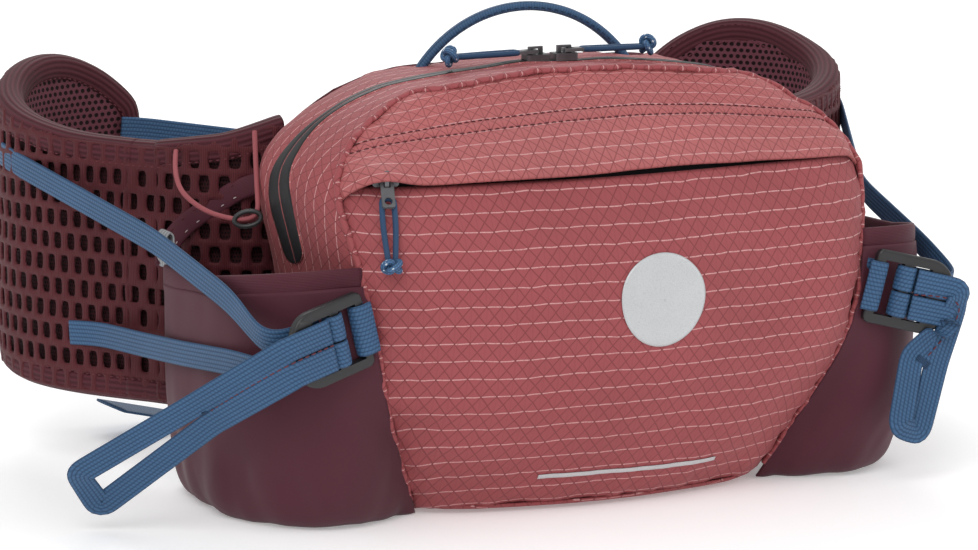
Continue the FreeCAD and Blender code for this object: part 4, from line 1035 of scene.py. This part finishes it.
def makeUnderside():
    # the bag's base, and its back sheet behind the pad
    front = bagSurface("front", np.linspace(0, 1, 60), 0.0)
    right = bagSurface("right", np.linspace(0, 1, 20), 0.0)[1:]
    back = bagSurface("back", np.linspace(1, 0, 60), 0.0)[1:]
    left = bagSurface("left", np.linspace(1, 0, 20), 0.0)[1:]
    ring = np.concatenate([front, right, back, left])
    centre = np.array([0, 4, 0])
    shares = np.array([0.985, 0.95, 0.8, 0.6, 0.4, 0.2, 0.02])
    heights = np.array([2.2, 0.9, 0.5, 0.5, 0.5, 0.5, 0.5])
    grid = centre + (ring[None] - centre) * shares[:, None, None]
    grid[..., 2] = heights[:, None] + 0.3 * np.abs(bumpy(grid, 20, 41))
    piece = sheet("underside", grid, grid[..., [0, 1, 2]], looks["ripstop"], 0.8, inwards=False)
    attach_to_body(piece, "pack")
    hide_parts("bottom_panel")
    share = np.linspace(1, 0, 70)[None, :]
    level = np.linspace(0, 1, 60)[:, None]
    grid = bagSurface("back", share, level)
    edge = np.minimum(np.minimum(share, 1 - share) * 230, (1 - level) * 168)
    grid = grid + (0.8 * bumpy(grid, (20, 20, 20), 42) * ease(edge / 14))[..., None] * np.array([0, 1, 0])
    grid[..., 2] = np.maximum(grid[..., 2], 0.5)
    piece = sheet("backSheet", grid, clothOf(grid), looks["binding"], 1.0)
    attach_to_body(piece, "pack")
    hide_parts("back_panel")


makeUnderside()
print("waist pack: underside and back")


# side pockets

pocket = dict(wall=1.3, height=103, hem=8, rows=72, columns=120, fold=3.0, sag=3.0, plan=[
    (0, [(-106, -34), (-136, -18), (-145, 18), (-143, 48)]),
    (50, [(-122, -44), (-144, -20), (-150, 16), (-148, 50)]),
    (112, [(-128, -42), (-146, -16), (-151, 18), (-150, 50)])])


def toRight(points):
    return np.asarray(points, float) * np.array([-1, 1, 1])


def openRight(points, angle=-17):
    # the right-hand copy of something on a wing: mirrored and turned a little wider open
    p = toRight(points) - np.array([143, 84, 0])
    a = math.radians(angle)
    turned = np.stack([p[..., 0] * math.cos(a) - p[..., 1] * math.sin(a),
                       p[..., 0] * math.sin(a) + p[..., 1] * math.cos(a), p[..., 2]], -1)
    return turned + np.array([143, 84, 0])


def rowAt(z):
    ring = tables["front"][int(np.clip(round(float(z)), 0, 178))]
    return ring[-1][0], -ring[-1][1]


def pocketTable():
    # the pocket's wall, a line of points at each mm of height
    bends = np.array([points for z, points in pocket["plan"]], float)
    lines = []
    for z in range(0, 114):
        w = np.array([(z - 50) * (z - 112) / (50 * 112), z * (z - 112) / (50 * (50 - 112)),
                      z * (z - 50) / (112 * 62)])                   # a parabola through the three plans
        half, seam = rowAt(z)
        points = [(-half - 0.5, -seam - 0.3)] + [tuple(b) for b in np.tensordot(w, bends, 1)] + [(-137, 64)]
        at, knots = spline(points)
        lines.append(at(np.linspace(0, knots[-1], 121)))
    return np.array(lines)


pocketLines = pocketTable()


def mouth(y):
    return np.interp(y, [-50, 0, 50], [103, 95, 92])


def pocketWall(share, level, drop=0.0):
    # a point of the left pocket's wall: level 0 at the floor, 1 at the mouth less drop
    share, level = np.broadcast_arrays(np.asarray(share, float), np.asarray(level, float))
    y = bilinear(pocketLines, np.full(share.shape, 95.0), share * 120)[..., 1]
    for step in range(4):
        z = level * (mouth(y) - drop)
        flat = bilinear(pocketLines, z, share * 120)
        y = flat[..., 1]
    return np.stack([flat[..., 0], flat[..., 1], z], -1)


def outwardOf(grid, towards):
    # normals of a grid, all on the side away from a point
    normals = gridNormals(grid)
    flip = np.sum(normals * (grid - np.asarray(towards, float)), axis=-1, keepdims=True) < 0
    return np.where(flip, -normals, normals)


def folds(grid, across, seed):
    # soft folds in stretch cloth: mostly upright, gathered at the seams and slack by the floor
    slack = np.exp(-((grid[..., 2] - 16) / 26) ** 2)
    relief = pocket["fold"] * bumpy(grid, (26, 26, 80), seed) * (0.35 + 0.65 * slack)
    relief += 0.9 * bumpy(grid + grid[..., [2]] * np.array([0.5, 0.5, 0]), (16, 16, 60), seed + 1) * slack
    relief += 0.8 * np.exp(-across / 9) * bumpy(grid, (30, 30, 9), seed + 2)
    return relief


def makePocket(side, seed):
    look = pocket
    share = evenShares(look["columns"], 0.15)[None, :]
    level = np.linspace(0, 1, look["rows"])[:, None]
    grid = pocketWall(share, level, look["hem"] - 1)
    across = distances(grid, 1)
    seam = np.minimum(across, across[:, -1:] - across)
    out = outwardOf(grid, (-100, 10, 60))
    relief = folds(grid, seam, seed) * ease(seam / 10)
    relief = relief + look["sag"] * np.exp(-((grid[..., 2] - 30) / 28) ** 2) * ease(seam / 22)
    relief -= 5.0 * np.exp(-grid[..., 2] / 3.5) * ease(seam / 8)
    relief *= ease((1.02 - level) * 12)
    grid = grid + out * relief[..., None]
    grid[..., 2] = np.maximum(grid[..., 2], 0.3)
    top = pocketWall(share, 1.0, look["hem"] / 2)[0]
    rim = resample(top, 2.0)
    outRim = unit(np.cross(unit(np.gradient(rim, axis=0)), (0, 0, 1.0)))
    inside = np.sum(outRim * (rim - np.array([-100, 10, 90])), axis=1, keepdims=True) < 0
    outRim = np.where(inside, -outRim, outRim)
    rim = rim + outRim * (0.5 * bumpy(rim, (22, 22, 22), seed + 5))[:, None]
    if side == "right":
        grid, rim, outRim = toRight(grid), toRight(rim), toRight(outRim)
    piece = sheet(f"sidePocket_{side}", grid, clothOf(grid), looks["knit"], look["wall"])
    piece.modifiers["thickness"].offset = -1 if side == "left" else 1
    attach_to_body(piece, "pack")
    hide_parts(f"side_pocket_{side}")
    band = sweep(f"pocketHem_{side}", rim, outRim, oval(look["hem"] + 0.6, 2.6, 24, 3.2), looks["hem"])
    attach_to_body(band, "pack")
    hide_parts(f"pocket_hem_{side}")


collarLook = dict(wide=8.5, thick=2.4,
                  line=[(-149, 52, 92), (-144, 61, 98), (-136, 61, 106), (-126, 55, 114), (-118, 49, 120),
                        (-112, 46, 122)])


def makePocketCollar(side):
    # the pocket's rear edge, rising along the belt to the bag, tacked in pale thread
    look = collarLook
    trace = np.array(look["line"], float)
    if side == "right":
        trace = toRight(trace)
    path = curveThrough(trace, 1.5)
    turn = 1 if side == "right" else -1
    normal = unit(np.array([turn * 0.45, -0.9, 0.25]))
    piece = sweep(f"pocketCollar_{side}", path, np.tile(normal, (len(path), 1)),
                  oval(look["wide"], look["thick"], 20, 3), looks["hem"])
    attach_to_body(piece, "pack")
    across = unit(np.cross(unit(np.gradient(path, axis=0)), normal))
    for n, shift in enumerate((-2.4, 2.2)):
        row = path + across * shift + normal * (look["thick"] / 2 - 0.1)
        thread = looks["paleThread" if n else "thread"]
        stitches(f"collarStitches_{side}_{n}", row, normal, "pack", thread, 1.6, 4.4, 0.22)


for side, seed in (("left", 51), ("right", 71)):
    makePocket(side, seed)
    makePocketCollar(side)
print("waist pack: side pockets")


# belt: padded base, hinged wings, spacer mesh and binding

belt = dict(thick=9, low=32, bind=11.5, wrap=2.2,
            base=[(-100, 52), (-117, 56), (-132, 68), (-143, 84)],
            wing=[(-143, 84), (-160, 108), (-173, 133), (-176, 158), (-163, 184), (-136, 201), (-103, 208)],
            baseEdges=[(0.0, 146, 0), (0.4, 139, 0), (1.0, 134, 0)],
            foldEdges=[(0.0, 134.3, 0), (1.0, 134.1, 0)],
            wingEdges=[(0.0, 134, 0), (0.2, 135, 0), (0.36, 140, 1), (0.52, 148, 5), (0.66, 156, 12),
                       (0.78, 157, 24), (0.88, 150, 40), (0.95, 142, 56), (1.0, 130, 70)])


def makePlan(points):
    # dense plan line, its length, and its outward normals
    at, knots = spline(points)
    trace = resample(at(np.linspace(0, knots[-1], 800)), 0.5)
    run = unit(np.gradient(trace, axis=0))
    return trace, np.stack([-run[:, 1], run[:, 0]], 1), (len(trace) - 1) * 0.5


plans = dict(base=makePlan(belt["base"]), wing=makePlan(belt["wing"]))
base, wing = plans["base"][0], plans["wing"][0]
plans["fold"] = makePlan([base[-19], base[-9], (-143, 84), wing[9], wing[19]])


def beltPoint(part, share, z, out=0.0):
    trace, normals, _ = plans[part]
    share, z, out = np.broadcast_arrays(*(np.asarray(v, float) for v in (share, z, out)))
    at = np.clip(share, 0, 1) * (len(trace) - 1)
    grid = np.arange(len(trace))
    flat = np.stack([np.interp(at, grid, trace[:, k]) for k in (0, 1)], -1)
    normal = np.stack([np.interp(at, grid, normals[:, k]) for k in (0, 1)], -1)
    flat = flat + normal * out[..., None]
    return np.concatenate([flat, z[..., None]], -1)


def beltEdges(part, share):
    rows = np.array(belt[part + "Edges"], float)
    at = rows[:, 0]
    top, low = (np.mean([np.interp(np.clip(share + d, 0, 1), at, rows[:, k]) for d in (-0.04, 0, 0.04)], axis=0)
                for k in (1, 2))
    return top, belt["low"] + low


def outline(part, start, end):
    # round the part's free edges: along the top, down the tip and back along the bottom
    share = np.linspace(start, end, 80)
    top, low = beltEdges(part, share)
    rim = np.concatenate([np.stack([share, top], 1), np.stack([share[::-1], low[::-1]], 1)])
    length = plans[part][2]
    flat = rim * np.array([length, 1])
    flat = resample(flat, 2.0)
    for step in range(14):
        flat[1:-1] = (flat[:-2] + 2 * flat[1:-1] + flat[2:]) / 4
    return flat / np.array([length, 1])


def edgeLine(part, start, end, level):
    # only the top edge, or only the bottom one, as a line for a binding
    share = np.linspace(start, end, 40)
    if not level:
        share = share[::-1]
    top, low = beltEdges(part, share)
    length = plans[part][2]
    flat = resample(np.stack([share * length, top if level else low], 1), 2.0)
    return flat / np.array([length, 1])


def bindingOf(name, part, rim, body, node, turned, right):
    # a tape folded over the padding's edge, ribbed, with a row of stitches on each face
    length = plans[part][2]
    flat = rim * np.array([length, 1])
    run = unit(np.gradient(flat, axis=0))
    inward = np.stack([run[:, 1], -run[:, 0]], 1)
    half = belt["thick"] / 2 + 0.9
    depth, wrap = belt["bind"] - 3, belt["wrap"]
    profile = [(half - 0.6, depth), (half + 0.1, depth - 0.8), (half + 0.5, depth * 0.5), (half + 0.2, 1.0)]
    turn = np.linspace(0.35, math.pi - 0.35, 9)
    profile += [(half * math.cos(a), 1.0 - (1.0 + wrap) * math.sin(a)) for a in turn]
    profile += [(-x, y) for x, y in profile[:4][::-1]]
    grid, cloth = [], []
    around = distances(np.array(profile)[None], 1)[0]
    wobble = 0.35 * bumpy(np.concatenate([flat, flat[:, :1] * 0], 1), 14, 61)
    for n, (spot, inner) in enumerate(zip(flat, inward)):
        deep = np.array([p[1] for p in profile])
        out = np.array([p[0] for p in profile]) + np.sign([p[0] for p in profile]) * wobble[n] * (deep > 1)
        spots = spot[None] + inner[None] * deep[:, None]
        grid.append(beltPoint(part, spots[:, 0] / length, spots[:, 1], out))
        cloth.append(np.stack([deep, np.full(len(profile), n * 2.0), around], 1))
    grid, cloth = np.array(grid), np.array(cloth)
    move = openRight if turned and right else toRight if right else np.asarray
    piece = sheet(name, move(grid), cloth, looks["binding"], 0.9)
    piece.modifiers["thickness"].offset = 1 if right else -1
    attach(piece, body)
    if node:
        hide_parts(node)
    for face, k in (("outer", 1), ("inner", len(profile) - 2)):
        centre = move(grid[:, k])
        away = unit(centre - move(grid[:, len(profile) - 1 - k]))
        stitches(f"{name}_{face}Stitches", centre + away * 0.35, away, body, looks["thread"], 1.9, 1.1, 0.3)
    return piece


def padOf(name, part, start, end, body, node, right, turned):
    # the padding: netted on the wearer's side, dark behind the spacer mesh, swelling between its edges; the holes of
    # both faces are painted near-black as shade
    share = np.linspace(start, end, 120)[None, :]
    top, low = beltEdges(part, share)
    move = openRight if turned and right else toRight if right else np.asarray
    length = plans[part][2]
    for face, out, material in (("Inner", -belt["thick"] / 2, looks["net"]), ("Outer", 1.9, looks["backing"])):
        t = np.linspace(0, 1, 60)[:, None]
        z = low + 0.5 + (top - low - 1) * t
        edge = np.minimum(np.minimum(z - low, top - z), (end - share) * length)
        swell = 1.6 * ease(edge / 22) if face == "Inner" else 0.9 * ease(edge / 30)
        grid = beltPoint(part, share + 0 * z, z, out + swell * (-1 if face == "Inner" else 0.6))
        away = beltPoint(part, share + 0 * z, z, out + 1) - beltPoint(part, share + 0 * z, z, out)
        grid = grid + away * (0.5 * bumpy(grid, 24, 63) * ease(edge / 16))[..., None]
        piece = sheet(f"{name}{face}", move(grid), clothOf(grid, share * length + 0 * z, z), material, 0.8)
        attach(piece, body)
        if face == "Inner" and node:
            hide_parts(node)


meshLook = dict(wide=6.4, tall=9.4, holeWide=4.3, holeTall=6.9, out=4.6, thick=1.5)


def spacerMesh(name, part, start, end, body, node, right, turned):
    # open spacer mesh: rows of tall rounded holes set alternately, as one perforated sheet
    look = meshLook
    length = plans[part][2]
    points, faces, cloth = [], [], []
    wide, tall = look["wide"], look["tall"]
    outer = [(-0.5, -0.5), (-0.25, -0.5), (0, -0.5), (0.25, -0.5), (0.5, -0.5), (0.5, 0), (0.5, 0.5), (0.25, 0.5),
             (0, 0.5), (-0.25, 0.5), (-0.5, 0.5), (-0.5, 0)]
    count = int((end - start) * length / wide)
    wide = (end - start) * length / count
    for row in range(-1, 16):
        for col in range(-1, count + 1):
            cx = start * length + (col + 0.5 + 0.5 * (row % 2)) * wide
            cz = belt["low"] + (row + 0.5) * tall
            top, low = beltEdges(part, np.clip(cx / length, start, end))
            within = start * length - wide * 0.3 < cx < end * length + wide * 0.3
            if not low - tall * 0.4 < cz < top + tall * 0.4 or not within:
                continue
            jitter = 0.10 * bumpy(np.array([[cx, cz, 0.0]]), 17, 65)[0]
            first = len(points)
            for n, (a, b) in enumerate(outer):
                points.append((cx + a * wide, cz + b * tall, 0.0))
            for n, (a, b) in enumerate(outer):
                turn = math.atan2(b * tall, a * wide)
                c, s = math.cos(turn), math.sin(turn)
                x = math.copysign(abs(c) ** 0.62, c) * look["holeWide"] / 2 * (1 + jitter)
                y = math.copysign(abs(s) ** 0.8, s) * look["holeTall"] / 2 * (1 - jitter)
                points.append((cx + x, cz + y, -0.35))
            for n in range(12):
                after = (n + 1) % 12
                faces.append((first + n, first + after, first + 12 + after, first + 12 + n))
    flat = np.array(points)
    share = np.clip(flat[:, 0] / length, start, end)
    top, low = beltEdges(part, share)
    z = np.clip(flat[:, 1], low - 0.2, top + 0.2)
    edge = np.minimum(z - low, top - z)
    soft = bumpy(np.stack([flat[:, 0], z, 0 * z], 1), 21, 66)
    out = look["out"] + flat[:, 2] + 0.7 * ease(edge / 25) + 0.5 * soft
    grid = beltPoint(part, share, z, out)
    cloth = np.stack([flat[:, 0], z, flat[:, 0]], 1)
    move = openRight if turned and right else toRight if right else np.asarray
    piece = makeMesh(name, move(grid), faces, cloth, looks["yarn"])
    weld = piece.modifiers.new("weld", "WELD")
    weld.merge_threshold = 0.00012
    solid = piece.modifiers.new("thickness", "SOLIDIFY")
    solid.thickness = look["thick"] / 1000
    solid.offset = 1 if right else -1
    smooth = piece.modifiers.new("smooth", "SUBSURF")
    smooth.levels = smooth.render_levels = 1
    attach(piece, body)
    if node:
        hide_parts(node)


for side in ("left", "right"):
    right = side == "right"
    begin = 5.6 / plans["wing"][2]
    finish = 1 - 5.6 / plans["base"][2]
    padOf(f"wingPad_{side}", "wing", begin, 0.985, f"wing_{side}", f"wing_foam_{side}", right, True)
    spacerMesh(f"wingMesh_{side}", "wing", begin, 0.985, f"wing_{side}", f"wing_mesh_{side}", right, True)
    bindingOf(f"wingBinding_{side}", "wing", outline("wing", begin, 0.99), f"wing_{side}", f"wing_binding_{side}",
              True, right)
    for n, level in enumerate((1, 0)):
        rim = edgeLine("base", 0.0, finish, level)
        node = None if n else f"base_binding_{side}"
        bindingOf(f"baseBinding_{side}_{n}", "base", rim, "pack", node, False, right)
        rim = edgeLine("fold", 0.0, 1.0, level)
        bindingOf(f"foldBinding_{side}_{n}", "fold", rim, f"fold_{side}", None, False, right)
    padOf(f"foldPad_{side}", "fold", 0.0, 1.0, f"fold_{side}", None, right, False)
    spacerMesh(f"foldMesh_{side}", "fold", 0.0, 1.0, f"fold_{side}", None, right, False)
    padOf(f"basePad_{side}", "base", 0.0, finish, "pack", f"belt_base_{side}", right, False)
    spacerMesh(f"baseMesh_{side}", "base", 0.0, finish, "pack", None, right, False)
print("waist pack: belt")


# back pad

backPadLook = dict(thick=6.5, cell=3.2, pressure=4, frames=20, cap=1.6)


def inflate(piece, look):
    # fill the closed cushion: a short pressure simulation, its movement capped, kept as the mesh
    scene = bpy.context.scene
    bpy.context.view_layer.objects.active = piece
    cells = piece.modifiers.new("cells", "REMESH")
    cells.mode = "VOXEL"
    cells.voxel_size = look["cell"] / 1000
    bpy.ops.object.modifier_apply(modifier=cells.name)
    mesh = piece.data
    rest = np.empty(len(mesh.vertices) * 3)
    mesh.vertices.foreach_get("co", rest)
    fill = piece.modifiers.new("fill", "CLOTH")
    fill.settings.quality = 4
    fill.settings.use_pressure = True
    fill.settings.uniform_pressure_force = look["pressure"]
    fill.settings.effector_weights.gravity = 0
    fill.collision_settings.use_collision = False
    fill.point_cache.frame_start, fill.point_cache.frame_end = 1, look["frames"]
    for frame in range(1, look["frames"] + 1):
        scene.frame_set(frame)
    shaped = piece.evaluated_get(bpy.context.evaluated_depsgraph_get()).data
    moved = np.empty(len(rest))
    shaped.vertices.foreach_get("co", moved)
    piece.modifiers.remove(fill)
    scene.frame_set(1)
    rest, moved = rest.reshape(-1, 3), moved.reshape(-1, 3)
    step = moved - rest
    far = np.linalg.norm(step, axis=1, keepdims=True)
    moved = rest + step * np.minimum(1, look["cap"] / 1000 / np.maximum(far, 1e-9))
    mesh.vertices.foreach_set("co", moved.ravel())
    if "cloth" in mesh.attributes:
        mesh.attributes.remove(mesh.attributes["cloth"])
    cloth = mesh.attributes.new("cloth", "FLOAT_VECTOR", "POINT")
    cloth.data.foreach_set("vector", (moved[:, [0, 2, 0]] * 1000).ravel())
    for face in mesh.polygons:
        face.use_smooth = True
    mesh.update()


def makeBackPad():
    # the padded back, netted on the wearer's side: inflated cloth, then a rim tape and its stitches
    look = backPadLook
    share = np.linspace(1, 0, 44)[None, :]
    level = np.linspace(0.05, 0.94, 34)[:, None]
    back = bagSurface("back", share * 0.86 + 0.07, level)
    t = np.linspace(-1, 1, 44)[None, :]
    u = np.linspace(-1, 1, 34)[:, None]
    edge = np.clip(1 - np.maximum(abs(t) ** 4, abs(u) ** 6), 0, 1) ** 0.5
    face = back + np.array([0, 1, 0]) * (1.2 + (look["thick"] - 1.2) * edge)[..., None]
    seat = back + np.array([0, 1, 0]) * 0.6
    points = np.concatenate([face.reshape(-1, 3), seat.reshape(-1, 3)])
    rows, cols = face.shape[:2]
    rim = list(range(cols)) + [r * cols + cols - 1 for r in range(1, rows)]
    rim += [(rows - 1) * cols + c for c in range(cols - 2, -1, -1)] + [r * cols for r in range(rows - 2, 0, -1)]
    faces = gridFaces(rows, cols) + [tuple(reversed(f)) for f in gridFaces(rows, cols, start=rows * cols)]
    for a, b in zip(rim, rim[1:] + rim[:1]):
        faces.append((b, a, a + rows * cols, b + rows * cols))
    cloth = np.concatenate([clothOf(face).reshape(-1, 3)] * 2)
    piece = makeMesh("backPad", points, faces, cloth, looks["net"])
    facedOut(piece)
    inflate(piece, look)
    soft = piece.modifiers.new("soft", "SUBSURF")
    soft.levels = soft.render_levels = 1
    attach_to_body(piece, "pack")
    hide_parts("back_pad")
    ring = face.reshape(-1, 3)[rim[::2]] + np.array([0, -1.2, 0])
    ring = np.concatenate([ring, ring[:1]])
    path = resample(ring, 2.5)
    tape = sweep("backPadTape", path, np.tile([0, 1.0, 0], (len(path), 1)), oval(6.0, 2.6, 16, 3),
                 looks["binding"])
    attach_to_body(tape, "pack")
    stitches("backPadStitches", path + np.array([0, 1.25, 0]), (0, 1.0, 0), "pack", looks["thread"])


makeBackPad()
print("waist pack: back pad")


# webbing: each strap is a flat section carried along its route, width directions given at each bend

webLook = dict(narrow=10, thin=1.2, wide=20, thick=1.5, waist=25, pivot=(-110.457, -52.429, 80.549),
               along=(-0.949, -0.2017, -0.2419), up=(-0.2366, -0.0503, 0.9703))


def lockPoint(x, y, z):
    look = webLook
    along, up = np.array(look["along"]), np.array(look["up"])
    return np.array(look["pivot"]) + along * x + up * y + np.cross(along, up) * z


def strap(name, points, widths, wide, thick, material, body, node=None, step=1.2, soft=24):
    both = resample(np.hstack([np.asarray(points, float), np.asarray(widths, float)]), step)
    for turn in range(soft):
        both[1:-1] = (both[:-2] + 2 * both[1:-1] + both[2:]) / 4
    path, across = both[:, :3], both[:, 3:]
    normals = unit(np.cross(unit(np.gradient(path, axis=0)), unit(across)))
    piece = sweep(name, path, normals, oval(wide, thick, 24, 4.5), material)
    if body:
        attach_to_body(piece, body)
    if node:
        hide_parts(node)
    return piece


def placed(points, side):
    return np.asarray(points, float) if side == "left" else toRight(points)


def makeCompression(side):
    look = webLook
    up, bar = (0, 0, 1.0), look["up"]
    spots = [(16, 3.2), (32, 3.2), (38, 7.2)]
    upper = [lockPoint(x, 5.3, z) for x, z in spots] + [(-151, -22, 89), (-158, 40, 103)]
    lower = [lockPoint(x, -5.3, z) for x, z in spots] + [(-151, -26, 66), (-155, 20, 62), (-157, 58, 59)]
    for name, fixed, ends in (("strapUpper", upper, ((0.42, 124, 1.2), (0.50, 126, 0.8))),
                              ("strapLower", lower, ((0.12, 57, 1.2), (0.20, 56, 0.8)))):
        riding = np.array([beltPoint("wing", s, z, 5.9 + out) for s, z, out in ends])
        riding = openRight(riding) if side == "right" else riding
        points = np.concatenate([placed(fixed, side), riding])
        widths = [bar] * 3 + [up] * (len(points) - 3)
        if side == "right":
            widths = toRight(widths)
        node = f"{'strap_upper' if name == 'strapUpper' else 'strap_lower'}_{side}"
        piece = strap(f"{name}_{side}", points, widths, look["narrow"], look["thin"], looks["webbing"], None, node,
                      soft=90)
        start, end = placed([-150, 60, 90], side), riding[0]
        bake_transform(piece)


def makeLockWebs(side):
    # webbing sewn to the seam, through the lock, and the two narrow rings round its middle bar
    look = webLook
    body = f"lock_{side}"
    path = [lockPoint(-4.2, 0, 2.6), lockPoint(-0.5, 0, 3.1), lockPoint(2.6, 0, 2.2), lockPoint(3.7, 0, 0),
            lockPoint(2.6, 0, -2.2), lockPoint(-0.5, 0, -3.1), lockPoint(-4.2, 0, -2.6)]
    widths = placed([look["up"]] * len(path), side)
    strap(f"anchorWeb_{side}", placed(path, side), widths, look["wide"], look["thick"], looks["webbing"], "pack",
          f"anchor_web_{side}", step=0.7, soft=2)
    for n, shift in enumerate((-5.3, 5.3)):
        turn = np.linspace(0, 2 * math.pi, 15)
        ring = [lockPoint(12 + 3.6 * math.cos(a), shift, 3.5 * math.sin(a)) for a in turn]
        piece = strap(f"strapWrap_{side}_{n}", placed(ring, side), placed([look["up"]] * 15, side),
                      look["narrow"], look["thin"], looks["webbing"], body, step=0.6, soft=1)
        if n == 0:
            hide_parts(f"strap_wrap_{side}")


def makePullLoop(side):
    # both tails side by side, joined down the middle by stitches, apart past the bartack, folded at the end
    look = webLook
    bar, tilted = np.array(look["up"]), np.array([-0.45, -0.1, 0.85])
    knee, ends = (-166, -34, 50), ((1, (-207, -4, 24)), (-1, (-196, 2, 9)))
    if side == "right":                                             # this one hangs turned, close by the lock
        knee, ends = (-131, -58, 50), ((1, (-129, -58, 20)), (-1, (-119, -60, 24)))
        tilted = unit(np.array([-0.9, -0.25, -0.25]))
    points, widths = [], []
    for turn, low in ends:
        middle = np.array(knee) + tilted * turn * 5.3
        along = unit(np.array(low) - middle)
        leg = [lockPoint(16, turn * 5.3, -3.2), lockPoint(35, turn * 5.3, -3.2), middle, np.array(low, float)]
        wide = [bar * turn, bar * turn, tilted * turn, along + tilted * turn]
        points += leg if turn > 0 else leg[::-1]
        widths += wide if turn > 0 else wide[::-1]
    body = f"lock_{side}"
    strap(f"pullLoop_{side}", placed(points, side), placed(widths, side), look["narrow"], look["thin"],
          looks["webbing"], body, f"pull_loop_{side}", soft=6)
    out = np.cross(look["along"], look["up"])
    row = [lockPoint(16, 0, -3.8), lockPoint(35, 0, -3.9), np.array(knee, float) - out * 0.7]
    row = curveThrough(placed(row, side), 1.0)
    face = placed([-out] * len(row), side)
    stitches(f"loopSeam_{side}", row, face, body, looks["thread"], 2.2, 0.8, 0.3)
    end, back = row[-1], unit(row[-1] - row[-6])
    across = np.cross(back, face[0])
    tack = np.array([end + back * 0.35 * n + across * (3.2 if n % 2 else -3.2) for n in range(9)])
    piece = sweep(f"loopTack_{side}", resample(tack, 0.6), np.tile(face[0], (len(resample(tack, 0.6)), 1)),
                  oval(0.7, 0.7, 8, 2), looks["blueThread"])
    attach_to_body(piece, body)


def makeWaistStraps():
    look = webLook
    up, flat, lean = (0, 0, 1.0), (0, 1.0, 0), (0.3, 0.6, 0.75)
    inside = -12.9 + 5.5
    seat, tip = beltPoint("wing", 0.93, 117, inside), beltPoint("wing", 0.985, 116, inside)
    left = [seat, tip, (-17.6, 212.4, 100)]
    strap("waistStrap_left", left, [up] * 3, look["waist"], look["thick"], looks["webbing"], "wing_left",
          "waist_strap_left")
    tail = [(-17.6, 209.6, 100), (-24, 211, 78), (-28, 204, 40), (-46, 190, 12), (-66, 180, 1.3),
            (-96, 172, 2.4), (-132, 165, 12)]
    strap("waistTail", tail, [(0, 0.5, 1.0), lean, lean, flat, flat, flat, flat], look["waist"], look["thick"],
          looks["webbing"], "wing_left")
    right = [openRight(seat), openRight(tip), (52.8, 211, 100)]
    strap("waistStrap_right", right, [up] * 3, look["waist"], look["thick"], looks["webbing"], "wing_right",
          "waist_strap_right")


def makeHandle():
    # round grab handle: stiff webbing rolled and sewn down its underside
    half, rise, low = 47.0, 25.0, 162.7
    radius = (half ** 2 + rise ** 2) / (2 * rise)
    turn = np.linspace(-1, 1, 70) * math.asin(half / radius)
    arc = np.stack([radius * np.sin(turn), np.full(70, 39.0), low + rise - radius + radius * np.cos(turn)], 1)
    normals = arc - np.array([0, 39, low + rise - radius])
    piece = sweep("grabHandle", arc, normals, oval(4.4, 3.8, 20, 2.4), looks["handleWeave"])
    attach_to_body(piece, "pack")
    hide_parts("grab_handle")
    row = arc[3:-3] + np.array([0, -2.15, 0]) - unit(normals[3:-3]) * 0.4
    stitches("handleStitches", row, (0, -1.0, 0), "pack", looks["blueThread"], 2.0, 0.8, 0.22)


def makeLoopTab(side):
    # small folded tab at the pocket's rear corner: pale tape
    turn = 1 if side == "right" else -1
    x, y, z = turn * 149.4, 51, 103
    ring = [(x - turn * 1.3, y, z - 12), (x - turn * 1.5, y, z - 4), (x - turn * 1.6, y, z + 0.5), (x, y, z + 2.2),
            (x + turn * 1.6, y, z + 0.5), (x + turn * 1.7, y, z - 4), (x + turn * 1.6, y, z - 12)]
    strap(f"loopTab_{side}", ring, [(0, 1.0, 0)] * 7, 10.0, 1.0, looks["greyTape"], "pack",
          "loop_tabs" if side == "left" else None, 0.6, 3)


def makeCordHook(side):
    # oval plastic ring through which the elastic turns
    turn = 1 if side == "right" else -1
    centre = np.array([turn * 127.0, 20.5, 112.75])
    along, up = unit(np.array([turn * -8.0, -3.0, 1.5])), np.array([0, 0, 1.0])
    up = unit(up - along * np.dot(up, along))
    a = np.linspace(0, 2 * math.pi, 49)
    ring = centre + along * (5.2 * np.cos(a))[:, None] + up * (2.9 * np.sin(a))[:, None]
    piece = sweep(f"cordHook_{side}", ring, ring - centre, oval(1.9, 1.9, 12, 2.3), looks["plastic"], False)
    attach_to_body(piece, "pack")
    if side == "left":
        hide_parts("cord_hooks")


for side in ("left", "right"):
    makeCompression(side)
    makeLockWebs(side)
    makePullLoop(side)
    makeLoopTab(side)
    makeCordHook(side)
makeWaistStraps()
makeHandle()
print("waist pack: webbing")


# hardware: the CAD's own pieces, with their materials

hardware = dict(plastic=("ladder_lock_left", "ladder_lock_right", "buckle_plug", "buckle_socket", "latch_lower",
                         "latch_upper"),
                slider=("zip_slider_left", "zip_slider_right", "front_slider"),
                silverTab=("zip_tab_left", "zip_tab_right"), greyTab=("front_tab",))


def dressHardware():
    for look, names in hardware.items():
        for name in names:
            node = bpy.data.objects[name]
            material = looks["slider" if look == "silverTab" else look]
            for one in node.material_slots:
                one.material = material


dressHardware()
print("waist pack: hardware")
